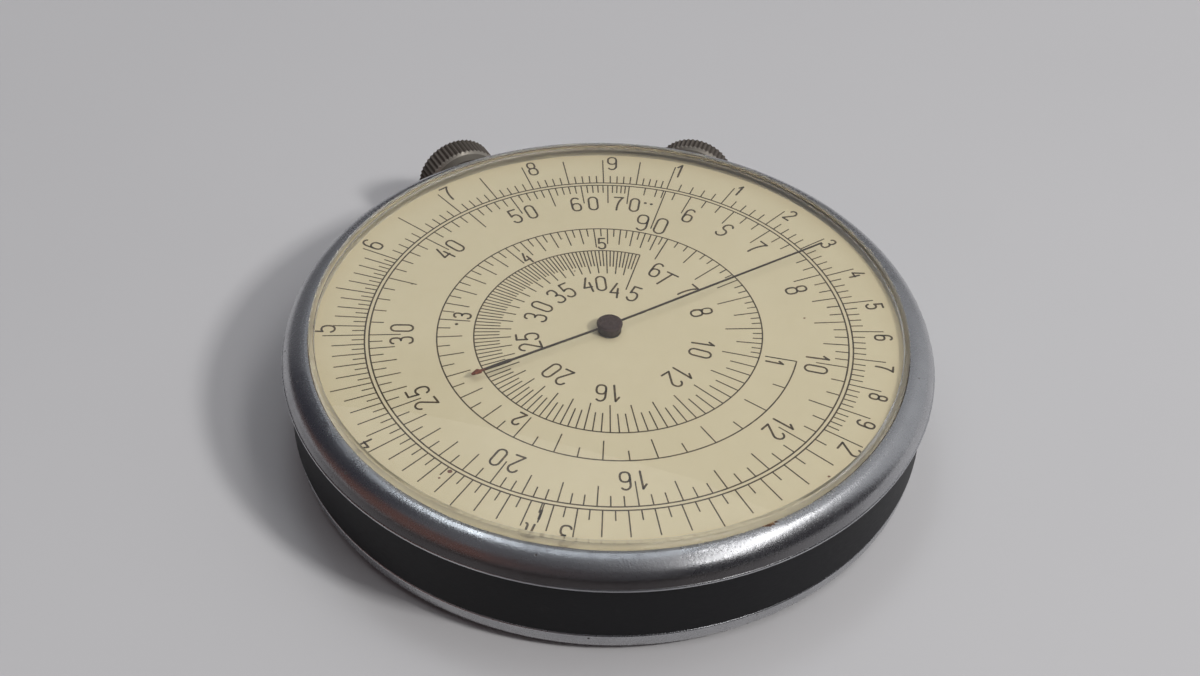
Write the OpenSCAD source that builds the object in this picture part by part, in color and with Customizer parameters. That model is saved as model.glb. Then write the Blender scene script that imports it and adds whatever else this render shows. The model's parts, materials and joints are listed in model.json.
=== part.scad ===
// Two-sided pocket circular slide rule, lying on its rear face with its fixed dial up.
// The origin is on the case axis, in the plane that it rests on. +Z is up, and +Y points
// midway between the two knobs on its rim.

/* [Case ring] */
// Outer radius of the black case ring
case_r = 25.6; // [25:0.1:27]
// Height of the case ring that shows between the two bezels
band_h = 5.34; // [5.2:0.02:6]
// Small chamfer on the two edges of that band
band_chamfer = 0.15; // [0.05:0.05:0.3]
// Step from the band in to the spigots that carry the bezels
spigot_step = 0.65; // [0.55:0.05:0.8]
// Wall of the spigots
spigot_wall = 0.65; // [0.5:0.05:0.8]
// Width of the inner ledge that the movement plate lies on
ledge_w = 1.7; // [1.6:0.1:2.2]

/* [Bezels] */
// How far the front bezel stands out past the case ring
bezel_out = 0.4; // [0.3:0.05:0.6]
// How far the rear bezel stands back from the case ring's face
rear_bezel_in = 0.1; // [0:0.05:0.15]
// Height of a bezel
bezel_h = 2.02; // [1.96:0.02:2.3]
// Radius of the front bezel's rounded section
bezel_round = 1.9; // [1.7:0.05:1.95]
// Radius of the rear bezel's rounded section
rear_round = 1.4; // [1.2:0.05:1.45]
// Width of the lip over the crystal's flange
lip_w = 1.05; // [0.8:0.05:1.2]
// Thickness of that lip
lip_t = 0.45; // [0.4:0.01:0.6]
// Radial gap between a bezel and the spigot it is pushed on
bezel_fit = 0.02; // [0.01:0.01:0.04]
// Height of the bead round a bezel's open edge
bead_h = 0.3; // [0.2:0.05:0.4]
// How far the bead stands out
bead_out = 0.08; // [0.04:0.02:0.12]

/* [Crystals] */
// Thickness of a crystal's flange
flange_t = 0.3; // [0.25:0.05:0.4]
// Thickness of the seal ring between the flange and the bezel's lip
gasket_t = 0.15; // [0.1:0.05:0.25]
// Radial gap round a crystal in its bezel
crystal_gap = 0.1; // [0.05:0.05:0.2]
// Thickness of the front crystal at its middle
crystal_t = 0.75; // [0.65:0.05:0.9]
// How far the front crystal's edge stands above the bezel
crystal_rise = 0.67; // [0.4:0.01:0.9]
// How far the front crystal's middle stands above its edge
crystal_dome = 0.7; // [0.4:0.05:1]
// How far its hollow's middle stands above the hollow's edge
hollow_dome = 0.62; // [0.5:0.02:0.66]
// Side wall of the front crystal
crystal_wall = 0.32; // [0.28:0.02:0.5]
// Rounding of the front crystal's edge
crystal_edge = 0.1; // [0.06:0.02:0.2]
// Rounding inside the hollow's corner
hollow_round = 0.2; // [0.1:0.02:0.3]
// Chamfer round the rear crystal's flat face
rear_edge = 0.2; // [0.1:0.05:0.3]

/* [Dials] */
// Thickness of a dial
dial_t = 0.5; // [0.4:0.05:0.6]
// Radial gap round the fixed dial and the movement plate in their seat
seat_gap = 0.05; // [0.02:0.01:0.1]
// Gap between the fixed dial and the crystal's flange
dial_sink = 0.03; // [0.02:0.01:0.06]
// Radial gap round the moving dial
turn_gap = 0.3; // [0.2:0.05:0.4]
// Room between the rear crystal and the moving dial
rear_room = 1.5; // [1.3:0.02:1.6]
// Gap between the moving dial and the ledge
ledge_gap = 0.2; // [0.15:0.05:0.3]
// Radial gap round the arbor in the fixed dial
dial_hole_gap = 0.2; // [0.15:0.05:0.3]

/* [Hands] */
// Direction of the front hand, clockwise from the midline
hand_turn = 64.3; // [0:0.1:360]
// Direction of the rear hand, clockwise from the midline seen from the front
rear_hand_turn = 325; // [0:1:360]
// Length of a hand from the axis to its tip
hand_len = 21; // [18:0.1:22]
// Length of a hand's tail
tail_len = 11.9; // [8:0.1:13]
// How far a hand's tail is bent sideways, in degrees
tail_bend = 2; // [0:0.5:4]
// Width of a hand at its hub
hand_w = 0.14; // [0.12:0.01:0.3]
// Width of a hand at its tip
tip_w = 0.1; // [0.08:0.01:0.16]
// Length of the wider end of the tail
paddle_len = 2.9; // [1:0.1:3.2]
// Width of that end where it starts
paddle_w = 0.3; // [0.24:0.02:0.6]
// Width of the tail at its tip
tail_w = 0.16; // [0.12:0.02:0.3]
// Thickness of a hand
hand_t = 0.11; // [0.08:0.01:0.18]
// Radius of the cap on a hand's hub
boss_r = 1.04; // [1:0.02:1.4]
// Height of that cap
boss_t = 0.28; // [0.24:0.02:0.32]
// Height of the collet under the front hand
front_collet_t = 0.44; // [0.3:0.01:0.5]
// Height of the collet under the rear hand
collet_t = 0.22; // [0.18:0.01:0.24]
// Gap between the front hand's collet and the fixed dial
collet_gap = 0.12; // [0.08:0.01:0.2]
// Wall of the collet
collet_wall = 0.2; // [0.15:0.01:0.25]
// Width of the fixed index at its foot
index_w = 2; // [1.6:0.1:3]
// How far the index's foot reaches in from the wall it sits in
index_foot = 1; // [0.8:0.1:1.5]
// Width of the index's blade where it leaves the foot
blade_w = 0.9; // [0.6:0.1:1.2]
// Width of the blade at its tip
blade_tip_w = 0.12; // [0.08:0.02:0.2]
// Distance of the blade's tip from the axis
index_reach = 15.5; // [13:0.1:18]
// Thickness of the index
index_t = 0.15; // [0.1:0.01:0.18]

/* [Movement] */
// Radius of the arbor that carries both hands
arbor_r = 0.75; // [0.6:0.05:0.8]
// Radial running clearance of shafts and hubs
run_clear = 0.03; // [0.02:0.01:0.05]
// Thickness of the movement plate
plate_t = 0.8; // [0.7:0.05:0.9]
// Wall of the arbor's bush in the plate
bush_wall = 0.72; // [0.5:0.02:0.9]
// How far the flange of a bush stands out
bush_flange = 0.7; // [0.5:0.05:0.9]
// Thickness of the flange of a bush
bush_flange_t = 0.25; // [0.2:0.01:0.28]
// Thickness of the bridge
bridge_t = 1; // [0.9:0.02:1.04]
// Height of the bridge's upper face above the stems' axis
bridge_up = 0.45; // [0.4:0.01:0.48]
// Width of the bridge's arms
arm_w = 4; // [3:0.1:5]
// Distance of the bridge's pillars from the axis
pillar_at = 12.5; // [12:0.1:16]
// Radius of a pillar
pillar_r = 1.1; // [0.9:0.05:1.3]
// Wall of the fixed tube that the moving dial turns on
tube_wall = 0.92; // [0.8:0.02:1]
// Wall of the dial's hub
hub_wall = 0.77; // [0.6:0.01:0.8]
// How far the hub's flange stands out
hub_flange = 1.3; // [1:0.1:1.4]
// Thickness of the hub's flange
hub_flange_t = 0.15; // [0.1:0.01:0.18]
// How far the hub's clenched edge stands out on the dial
hub_clench = 0.4; // [0.2:0.05:0.6]
// Thickness of that edge
hub_clench_t = 0.1; // [0.06:0.01:0.12]
// Height of the collar that keeps the hub on its tube
collar_t = 0.25; // [0.2:0.01:0.28]
// How far the collar stands out from the tube
collar_out = 0.55; // [0.4:0.05:0.6]
// End play of the dial's hub
end_play = 0.05; // [0.03:0.01:0.06]
// Thickness of the dished washer over the hub
washer_t = 0.06; // [0.04:0.01:0.08]
// How much the washer is dished
washer_dish = 0.05; // [0.03:0.01:0.06]

/* [Gearing] */
// Module of the teeth
tooth_module = 0.25; // [0.24:0.002:0.256]
// Teeth on a pinion
pinion_teeth = 8; // [8:1:8]
// Teeth on the hands' contrate wheel
hand_teeth = 40; // [36:2:44]
// Teeth on the moving dial's contrate wheel
dial_teeth = 72; // [68:2:76]
// How far a tooth stands past the pitch line
addendum = 0.15; // [0.12:0.01:0.16]
// Gap between a tooth's tip and the root that it faces
tip_gap = 0.07; // [0.05:0.01:0.1]
// Half width of a pinion tooth at its tip
pinion_tip = 0.09; // [0.06:0.01:0.1]
// Half width of a pinion tooth at its root
pinion_root = 0.17; // [0.14:0.01:0.18]
// Half width of a contrate tooth at its tip
crown_tip = 0.1; // [0.08:0.01:0.11]
// Half width of a contrate tooth at its root
crown_root = 0.19; // [0.16:0.01:0.2]
// Length of the teeth along the stem
face_w = 0.6; // [0.5:0.02:0.64]
// Width of the wheels' toothed rims
rim_w = 1; // [0.9:0.05:1.2]
// Thickness of the hands' wheel
wheel_t = 0.5; // [0.4:0.02:0.6]
// Thickness of the dial wheel's web
web_t = 0.25; // [0.2:0.01:0.28]
// Radius of the windows in the hands' wheel
hand_window_r = 0.95; // [0.8:0.05:1]
// Radius of the windows in the dial wheel
dial_window_r = 1.5; // [1:0.1:1.7]
// Wall of the hands' wheel's hub
wheel_hub = 0.85; // [0.7:0.05:1]

/* [Stems and brackets] */
// Angle of each stem from the midline
stem_angle = 22.5; // [20:0.5:30]
// Radius of a stem
stem_r = 0.6; // [0.55:0.01:0.62]
// Radius of a stem where it carries its pinion
pinion_seat_r = 0.45; // [0.4:0.01:0.48]
// Wall of a stem's bush in the case ring
stem_bush_wall = 0.57; // [0.45:0.01:0.6]
// How far the bush's outer flange stands out from its barrel
stem_flange = 0.6; // [0.4:0.05:0.8]
// Depth of that flange's seat in the case ring
stem_flange_sink = 0.6; // [0.4:0.05:0.8]
// How far the bush stands out of the case ring
stem_bush_out = 0.5; // [0.3:0.05:0.55]
// How far the stem's collar inside the case stands out
stem_collar = 0.4; // [0.3:0.05:0.5]
// Length of that collar
stem_collar_len = 0.6; // [0.4:0.05:0.8]
// Axial gap beside the collar, the pinion and the knob's neck
stem_gap = 0.1; // [0.06:0.01:0.12]
// Thickness of a stem's inner bracket
bracket_t = 1.4; // [1:0.1:1.5]
// Half width of that bracket at the stem
bracket_half = 1.5; // [1.3:0.1:1.6]
// Half width of its foot on the plate
foot_half = 3.4; // [3.2:0.1:3.6]
// Thickness of the foot
foot_t = 0.5; // [0.4:0.05:0.6]
// Gap between a bracket and the wheel that its stem turns
bracket_gap = 1.1; // [1:0.05:1.2]
// How far a bracket reaches below its stem's axis
bracket_below = 0.95; // [0.9:0.01:0.98]

/* [Knobs] */
// Radius of a knob over its knurls
knob_r = 3.58; // [3:0.02:3.8]
// Length of the hand knob
hand_knob_len = 2.9; // [2.4:0.05:3]
// Length of the dial knob
dial_knob_len = 2.2; // [2.1:0.05:3]
// Gap between the bezel and the dial knob
knob_gap = 0.22; // [0.2:0.01:0.6]
// How much further out the hand knob stands
hand_knob_out = 0.6; // [0:0.1:1.6]
// Knurls round a knob
knurls = 52; // [40:1:60]
// Depth of the knurls
knurl_depth = 0.13; // [0.1:0.01:0.2]
// Length over which the knurls run out at the inner end
knurl_run = 0.35; // [0.2:0.05:0.5]
// Bevel at the outer end of a knob
knob_bevel = 0.25; // [0.2:0.05:0.5]
// Length of the cone at the inner end of a knob
cone_len = 0.6; // [0.3:0.05:0.7]
// How much smaller that cone gets
cone_drop = 0.35; // [0.2:0.05:0.5]
// Wall of the knob's neck round its stem
neck_wall = 0.9; // [0.6:0.05:1.1]
// Radius of the colour dot in a knob's end
dot_r = 1.5; // [1:0.1:2]
// Depth of the dot's recess
dot_depth = 0.3; // [0.2:0.05:0.4]
// How far the dot lies below the knob's end
dot_sink = 0.05; // [0.02:0.01:0.08]
// Thickness of the knob between its stem and the dot
knob_web = 0.4; // [0.3:0.05:0.5]

/* [Screws] */
// Radius of the screws' shanks
screw_r = 0.4; // [0.3:0.02:0.45]
// Radius of the screws' heads
head_r = 0.7; // [0.6:0.02:0.75]
// Height of the screws' heads
head_t = 0.35; // [0.3:0.01:0.4]
// Depth of the recesses for the plate screws' heads
head_recess = 0.4; // [0.4:0.01:0.5]
// Length of a screw's shank in what it holds to
grip_len = 1; // [0.8:0.05:1.2]
// Distance of a bracket's screws from its middle
bracket_screw_at = 2.4; // [2.3:0.05:2.6]

/* [Hidden] */
$fn = 96;
// Facets of a full circle on the crystal's large dome
dome_fn = 1440;
// Overlap of shapes that are joined or cut
eps = 0.05;

// Radii of the case, bezels and crystals
spigot_r = case_r - spigot_step;
seat_r = spigot_r - spigot_wall;
mech_r = seat_r - ledge_w;
bezel_r = case_r + bezel_out;
rear_bezel_r = case_r - rear_bezel_in;
window_r = spigot_r - lip_w;
crystal_r = window_r - crystal_gap;
flange_r = spigot_r - crystal_gap;
hollow_r = crystal_r - crystal_wall;

// Heights, from the plane it rests on
rear_end_z = lip_t + gasket_t + flange_t;
spigot_h = bezel_h - rear_end_z;
front_band_z = bezel_h + band_h;
front_end_z = front_band_z + spigot_h;
crown_z = front_band_z + bezel_h;
dial_z = front_end_z - dial_sink - dial_t;
plate_z = dial_z - plate_t;
stem_z = bezel_h + band_h / 2;
moving_z = rear_end_z + rear_room;
moving_top = moving_z + dial_t;
ledge_z = moving_top + ledge_gap;

// Front crystal
edge_z = crown_z + crystal_rise;
apex_z = edge_z + crystal_dome;
edge_x = crystal_r - crystal_edge;
dome_r = (edge_x * edge_x + crystal_dome * crystal_dome) / (2 * crystal_dome);
hollow_top = apex_z - crystal_t;
hollow_x = hollow_r - hollow_round;
hollow_edge = hollow_top - hollow_dome;
hollow_ball = (hollow_x * hollow_x + hollow_dome * hollow_dome) / (2 * hollow_dome);

// Gearing
pinion_pitch = tooth_module * pinion_teeth / 2;
hand_pitch = tooth_module * hand_teeth / 2;
dial_pitch = tooth_module * dial_teeth / 2;
pinion_tip_r = pinion_pitch + addendum;
pinion_root_r = pinion_pitch - addendum - tip_gap;
tooth_h = 2 * addendum + tip_gap;
hand_root_z = stem_z + pinion_pitch + addendum + tip_gap;
dial_root_z = stem_z - pinion_pitch - addendum - tip_gap;
wheel_hub_r = arbor_r + wheel_hub;

// Bridge, tube and hub
bridge_top = stem_z + bridge_up;
bridge_z = bridge_top - bridge_t;
bush_r = arbor_r + run_clear + bush_wall;
tube_r = arbor_r + run_clear + tube_wall;
tube_flange_z = bridge_z - bush_flange_t;
hub_bore = tube_r + run_clear;
hub_r = hub_bore + hub_wall;
hub_z = moving_z - hub_clench_t;
hub_top = tube_flange_z - washer_t - washer_dish - end_play;
collar_z = hub_z - end_play - collar_t;
boss_seat = arbor_r + collet_wall;

// Hands
front_hand_z = dial_z + dial_t + collet_gap + front_collet_t;
rear_hand_z = collar_z - collet_gap - collet_t - hand_t;
arbor_front = front_hand_z + hand_t + boss_t / 2;
arbor_rear = rear_hand_z - boss_t / 2;

// Stems and knobs
stem_bore = stem_r + run_clear;
stem_bush_r = stem_bore + stem_bush_wall;
stem_flange_r = stem_bush_r + stem_flange;
stem_flange_at = case_r - stem_flange_sink;
stem_bush_end = case_r + stem_bush_out;
hand_stem_az = 90 + stem_angle;
dial_stem_az = 90 - stem_angle;
dial_knob_at = bezel_r + bead_out + knob_gap;
hand_knob_at = dial_knob_at + hand_knob_out;
neck_r = stem_r + neck_wall;

// Screws
plate_screw_at = (seat_r + mech_r) / 2;
plate_screw_az = [30, 150, 270];
pillar_az = [180, 270, 360];

// Helpers

// A ring or tube about the Z axis
module tube(outer, inner, z, h) {
    translate([0, 0, z])
        difference() {
            cylinder(r = outer, h = h);
            translate([0, 0, -eps]) cylinder(r = inner, h = h + 2 * eps);
        }
}

// A cylinder that starts at distance x from the case axis and runs outwards
module radial_rod(r, x, len) {
    translate([x, 0, 0]) rotate([0, 90, 0]) cylinder(r = r, h = len);
}

// Puts children drawn along +X onto a stem's line
module on_stem(az) {
    rotate([0, 0, az]) translate([0, 0, stem_z]) children();
}

// Section of a bezel that stands with its open edge down
module bezel_section(outer, rounding) {
    land = bezel_h - rounding;
    difference() {
        union() {
            intersection() {
                translate([outer - rounding, land]) circle(r = rounding);
                translate([window_r, land]) square([outer, bezel_h]);
            }
            translate([window_r, 0]) square([outer - rounding - window_r + eps, bezel_h]);
            translate([window_r, 0]) square([outer - window_r, land + eps]);
            translate([outer + bead_out - bead_h / 2, bead_h / 2]) circle(d = bead_h);
        }
        translate([0, -eps]) square([spigot_r + bezel_fit, bezel_h - lip_t + eps]);
    }
}

// Section of the front crystal: flange, side wall and dome, less the hollow under it
module crystal_section() {
    difference() {
        union() {
            translate([0, front_end_z]) square([flange_r, flange_t]);
            translate([0, front_end_z]) square([crystal_r, edge_z - crystal_edge - front_end_z]);
            translate([edge_x, edge_z - crystal_edge]) circle(r = crystal_edge);
            intersection() {
                translate([0, front_end_z]) square([edge_x, apex_z - front_end_z]);
                translate([0, apex_z - dome_r]) circle(r = dome_r, $fn = dome_fn);
            }
        }
        intersection() {
            translate([-eps, front_end_z - eps]) square([hollow_x + eps, apex_z]);
            translate([0, hollow_top - hollow_ball]) circle(r = hollow_ball, $fn = dome_fn);
        }
        translate([-eps, front_end_z - eps])
            square([hollow_r + eps, hollow_edge - hollow_round - front_end_z + eps]);
        translate([hollow_x, hollow_edge - hollow_round]) circle(r = hollow_round);
        translate([-2 * dome_r, 0]) square([2 * dome_r, apex_z + eps]);
    }
}

// Outline of a pinion, one tooth up and one down
module pinion_outline() {
    root_a = asin(pinion_root / pinion_root_r);
    tip_a = asin(pinion_tip / pinion_tip_r);
    corners = [
        [pinion_root_r, -root_a], [pinion_tip_r, -tip_a], [pinion_tip_r, tip_a], [pinion_root_r, root_a]
    ];
    polygon([
        for (i = [0 : pinion_teeth - 1])
            for (c = corners)
                c[0] * [cos(c[1] + i * 360 / pinion_teeth), sin(c[1] + i * 360 / pinion_teeth)]
    ]);
}

// A pinion on its stem, its teeth centred on the wheel's pitch circle
module pinion(az, pitch) {
    on_stem(az)
        translate([pitch - face_w / 2, 0, 0])
            rotate([0, 90, 0])
                linear_extrude(height = face_w)
                    difference() {
                        pinion_outline();
                        circle(r = pinion_seat_r);
                    }
}

// Ring of contrate teeth that stand up from z = 0, with a gap on the line to the stem
module crown_teeth(count, pitch) {
    foot = crown_root + (crown_root - crown_tip) * eps / tooth_h;
    for (i = [0 : count - 1])
        rotate([0, 0, (i + 0.5) * 360 / count])
            translate([pitch - face_w / 2, 0, 0])
                rotate([90, 0, 90])
                    linear_extrude(height = face_w)
                        polygon([[-foot, -eps], [foot, -eps], [crown_tip, tooth_h], [-crown_tip, tooth_h]]);
}

// Bearing of a stem in the case ring
module stem_bush(az) {
    on_stem(az)
        difference() {
            union() {
                radial_rod(stem_bush_r, mech_r, stem_bush_end - mech_r);
                radial_rod(stem_flange_r, stem_flange_at, stem_bush_end - stem_flange_at);
            }
            radial_rod(stem_bore, mech_r - eps, stem_bush_end - mech_r + 2 * eps);
        }
}

// Stem from its pinion's seat out to the knob's web, with a collar inside the case wall
module stem(az, pitch, knob_end) {
    shoulder = pitch + face_w / 2;
    on_stem(az) {
        radial_rod(pinion_seat_r, pitch - face_w / 2 - stem_gap, face_w + stem_gap + eps);
        radial_rod(stem_r, shoulder, knob_end - dot_depth - knob_web - shoulder);
        radial_rod(stem_r + stem_collar, mech_r - stem_gap - stem_collar_len, stem_collar_len);
    }
}

// Bearing block of a stem, hung from the plate by a foot
module stem_bracket(az, pitch) {
    inner = pitch + rim_w / 2 + bracket_gap;
    up = plate_z - stem_z;
    on_stem(az)
        difference() {
            union() {
                translate([inner, -bracket_half, -bracket_below])
                    cube([bracket_t, 2 * bracket_half, bracket_below + up]);
                translate([inner, -foot_half, up - foot_t])
                    cube([bracket_t, 2 * foot_half, foot_t]);
            }
            radial_rod(stem_bore, inner - eps, bracket_t + 2 * eps);
            for (side = [-1, 1])
                translate([inner + bracket_t / 2, side * bracket_screw_at, up - foot_t - eps])
                    cylinder(r = screw_r, h = foot_t + 2 * eps);
        }
}

// Places children at a bracket's two screws, at the underside of its foot
module at_bracket_screws(az, pitch) {
    rotate([0, 0, az])
        for (side = [-1, 1])
            translate([
                pitch + rim_w / 2 + bracket_gap + bracket_t / 2,
                side * bracket_screw_at,
                plate_z - foot_t
            ])
                children();
}

// Places children at the plate's case screws, at the ledge
module at_plate_screws() {
    for (az = plate_screw_az)
        rotate([0, 0, az]) translate([plate_screw_at, 0, plate_z]) children();
}

// Places children on the bridge's pillars, at z = 0
module at_pillars() {
    for (az = pillar_az)
        rotate([0, 0, az]) translate([pillar_at, 0, 0]) children();
}

// Knurled knob: a fluted drum between two bevelled ends, with a neck towards the case
module knob(az, at, len) {
    core_r = knob_r - knurl_depth;
    drum = len - cone_len - knob_bevel;
    neck_from = stem_bush_end + stem_gap;
    step = 360 / knurls;
    on_stem(az)
        difference() {
            union() {
                translate([at + cone_len, 0, 0])
                    rotate([0, 90, 0])
                        intersection() {
                            linear_extrude(height = drum)
                                polygon([
                                    for (i = [0 : knurls - 1])
                                        for (k = [[knob_r, 0], [core_r, 0.5]])
                                            k[0] * [cos((i + k[1]) * step), sin((i + k[1]) * step)]
                                ]);
                            union() {
                                cylinder(r1 = core_r - eps, r2 = knob_r + eps, h = knurl_run);
                                translate([0, 0, knurl_run])
                                    cylinder(r = knob_r + eps, h = drum - knurl_run);
                            }
                        }
                translate([at, 0, 0])
                    rotate([0, 90, 0])
                        cylinder(r1 = core_r - cone_drop, r2 = core_r - eps, h = cone_len);
                translate([at + cone_len + drum, 0, 0])
                    rotate([0, 90, 0])
                        cylinder(r1 = core_r - eps, r2 = core_r - knob_bevel, h = knob_bevel);
                radial_rod(neck_r, neck_from, at + cone_len - neck_from);
            }
            radial_rod(stem_r, neck_from - eps, at + len - dot_depth - knob_web - neck_from + eps);
            radial_rod(dot_r, at + len - dot_depth, dot_depth + eps);
        }
}

// Colour dot in the end of a knob
module knob_dot(az, end) {
    on_stem(az) radial_rod(dot_r, end - dot_depth, dot_depth - dot_sink);
}

// Flat outline of a hand that points along +X
module hand_outline() {
    paddle = paddle_len - tail_len;
    polygon([
        [0, hand_w / 2], [hand_len, tip_w / 2], [hand_len, -tip_w / 2], [0, -hand_w / 2]
    ]);
    rotate(-tail_bend)
        polygon([
            [0, hand_w / 2], [0, -hand_w / 2], [paddle + paddle_w, -hand_w / 2],
            [paddle, -paddle_w / 2], [-tail_len, -tail_w / 2], [-tail_len, tail_w / 2],
            [paddle, paddle_w / 2], [paddle + paddle_w, hand_w / 2]
        ]);
}

// A hand with its collet towards +Z, lying on z = 0
module hand(collet) {
    difference() {
        union() {
            linear_extrude(height = hand_t)
                union() {
                    hand_outline();
                    circle(r = boss_seat);
                }
            translate([0, 0, hand_t - eps]) cylinder(r = boss_seat, h = collet + eps);
        }
        translate([0, 0, -eps]) cylinder(r = arbor_r, h = hand_t + collet + 2 * eps);
    }
}

// Cap on a hand's hub, its open side up, with a rounded rim
module boss() {
    rim = boss_t / 2;
    difference() {
        union() {
            cylinder(r1 = boss_r - rim, r2 = boss_r, h = rim);
            translate([0, 0, rim]) cylinder(r = boss_r, h = boss_t - rim);
        }
        translate([0, 0, boss_t / 2]) cylinder(r = arbor_r, h = boss_t);
    }
}

// Sub-parts of the case

module case_ring() {
    color("#18181c")
        difference() {
            rotate_extrude()
                polygon([
                    [seat_r, rear_end_z], [spigot_r, rear_end_z], [spigot_r, bezel_h],
                    [case_r - band_chamfer, bezel_h], [case_r, bezel_h + band_chamfer],
                    [case_r, front_band_z - band_chamfer], [case_r - band_chamfer, front_band_z],
                    [spigot_r, front_band_z], [spigot_r, front_end_z], [seat_r, front_end_z],
                    [seat_r, plate_z], [mech_r, plate_z], [mech_r, ledge_z], [seat_r, ledge_z]
                ]);
            for (az = [hand_stem_az, dial_stem_az])
                on_stem(az) {
                    radial_rod(stem_bush_r, mech_r - stem_bush_r, case_r - mech_r + 2 * stem_bush_r);
                    radial_rod(stem_flange_r, stem_flange_at, stem_flange_sink + stem_flange_r);
                }
            at_plate_screws() translate([0, 0, -grip_len]) cylinder(r = screw_r, h = grip_len + eps);
            translate([-index_w / 2, seat_r - index_foot, rear_end_z - eps])
                cube([index_w, index_foot + spigot_wall + eps, index_t + eps]);
        }
}

module front_bezel() {
    color("silver")
        translate([0, 0, front_band_z]) rotate_extrude() bezel_section(bezel_r, bezel_round);
}

module rear_bezel() {
    color("silver")
        translate([0, 0, bezel_h])
            mirror([0, 0, 1]) rotate_extrude() bezel_section(rear_bezel_r, rear_round);
}

module front_crystal() {
    color("lightcyan", 0.35) rotate_extrude() crystal_section();
}

module rear_crystal() {
    color("lightcyan", 0.35) {
        cylinder(r1 = crystal_r - rear_edge, r2 = crystal_r, h = rear_edge);
        translate([0, 0, rear_edge]) cylinder(r = crystal_r, h = rear_end_z - rear_edge);
        translate([0, 0, rear_end_z - flange_t]) cylinder(r = flange_r, h = flange_t);
    }
}

module front_gasket() {
    color("dimgray") tube(flange_r, window_r, front_end_z + flange_t, gasket_t);
}

module rear_gasket() {
    color("dimgray") tube(flange_r, window_r, lip_t, gasket_t);
}

module fixed_dial() {
    color("#c1b596") tube(seat_r - seat_gap, arbor_r + dial_hole_gap, dial_z, dial_t);
}

// Sub-parts of the movement that stay with the case

module main_plate() {
    color("#b08d4a")
        difference() {
            tube(seat_r - seat_gap, bush_r, plate_z, plate_t);
            at_plate_screws() {
                translate([0, 0, -eps]) cylinder(r = screw_r, h = plate_t + 2 * eps);
                translate([0, 0, plate_t - head_recess]) cylinder(r = head_r, h = head_recess + eps);
            }
            at_pillars()
                translate([0, 0, plate_z - eps]) cylinder(r = pillar_r / 2, h = plate_t + 2 * eps);
            at_bracket_screws(hand_stem_az, hand_pitch) cylinder(r = screw_r, h = foot_t + plate_t + eps);
            at_bracket_screws(dial_stem_az, dial_pitch) cylinder(r = screw_r, h = foot_t + plate_t + eps);
        }
}

module plate_screws() {
    color("#8a8f98")
        at_plate_screws() {
            translate([0, 0, -grip_len]) cylinder(r = screw_r, h = grip_len + plate_t - head_recess + eps);
            translate([0, 0, plate_t - head_recess]) cylinder(r = head_r, h = head_t);
        }
}

module bridge() {
    color("#c6a45a")
        translate([0, 0, bridge_z])
            linear_extrude(height = bridge_t)
                difference() {
                    union() {
                        circle(r = arm_w * 0.75);
                        for (az = pillar_az)
                            rotate([0, 0, az]) {
                                translate([0, -arm_w / 2]) square([pillar_at, arm_w]);
                                translate([pillar_at, 0]) circle(d = arm_w);
                            }
                    }
                    circle(r = tube_r);
                    at_pillars() circle(r = screw_r);
                }
}

module bridge_pillars() {
    color("#c9c2a8")
        at_pillars()
            difference() {
                union() {
                    translate([0, 0, bridge_top]) cylinder(r = pillar_r, h = plate_z - bridge_top);
                    translate([0, 0, plate_z - eps]) cylinder(r = pillar_r / 2, h = plate_t + eps);
                }
                translate([0, 0, bridge_top - eps]) cylinder(r = screw_r, h = grip_len + eps);
            }
}

module bridge_screws() {
    color("#8a8f98")
        at_pillars() {
            translate([0, 0, bridge_z - head_t]) cylinder(r = head_r, h = head_t);
            translate([0, 0, bridge_z - eps]) cylinder(r = screw_r, h = bridge_t + grip_len + eps);
        }
}

module plate_bush() {
    color("#d8b765")
        difference() {
            union() {
                translate([0, 0, plate_z - bush_flange_t])
                    cylinder(r = bush_r + bush_flange, h = bush_flange_t);
                translate([0, 0, plate_z - eps]) cylinder(r = bush_r, h = plate_t + eps);
            }
            translate([0, 0, plate_z - bush_flange_t - eps])
                cylinder(r = arbor_r + run_clear, h = bush_flange_t + plate_t + 2 * eps);
        }
}

module dial_bush() {
    color("#d8b765")
        difference() {
            union() {
                translate([0, 0, collar_z]) cylinder(r = tube_r, h = bridge_top - collar_z);
                translate([0, 0, tube_flange_z]) cylinder(r = tube_r + bush_flange, h = bush_flange_t);
            }
            translate([0, 0, collar_z - eps])
                cylinder(r = arbor_r + run_clear, h = bridge_top - collar_z + 2 * eps);
        }
}

module dial_collar() {
    color("#8a8f98") tube(tube_r + collar_out, tube_r, collar_z, collar_t);
}

module dial_spring_washer() {
    inner = hub_bore + eps;
    color("#6f757e")
        rotate_extrude()
            polygon([
                [inner, tube_flange_z - washer_t], [inner, tube_flange_z],
                [hub_r, tube_flange_z - washer_dish], [hub_r, tube_flange_z - washer_dish - washer_t]
            ]);
}

module hand_stem_bush() {
    color("#b9b4a6") stem_bush(hand_stem_az);
}

module dial_stem_bush() {
    color("#b9b4a6") stem_bush(dial_stem_az);
}

module hand_stem_bracket() {
    color("#c6a45a") stem_bracket(hand_stem_az, hand_pitch);
}

module dial_stem_bracket() {
    color("#c6a45a") stem_bracket(dial_stem_az, dial_pitch);
}

module bracket_screws() {
    color("#8a8f98")
        for (pair = [[hand_stem_az, hand_pitch], [dial_stem_az, dial_pitch]])
            at_bracket_screws(pair[0], pair[1]) {
                translate([0, 0, -head_t]) cylinder(r = head_r, h = head_t);
                translate([0, 0, -eps]) cylinder(r = screw_r, h = foot_t + plate_t + eps);
            }
}

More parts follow.
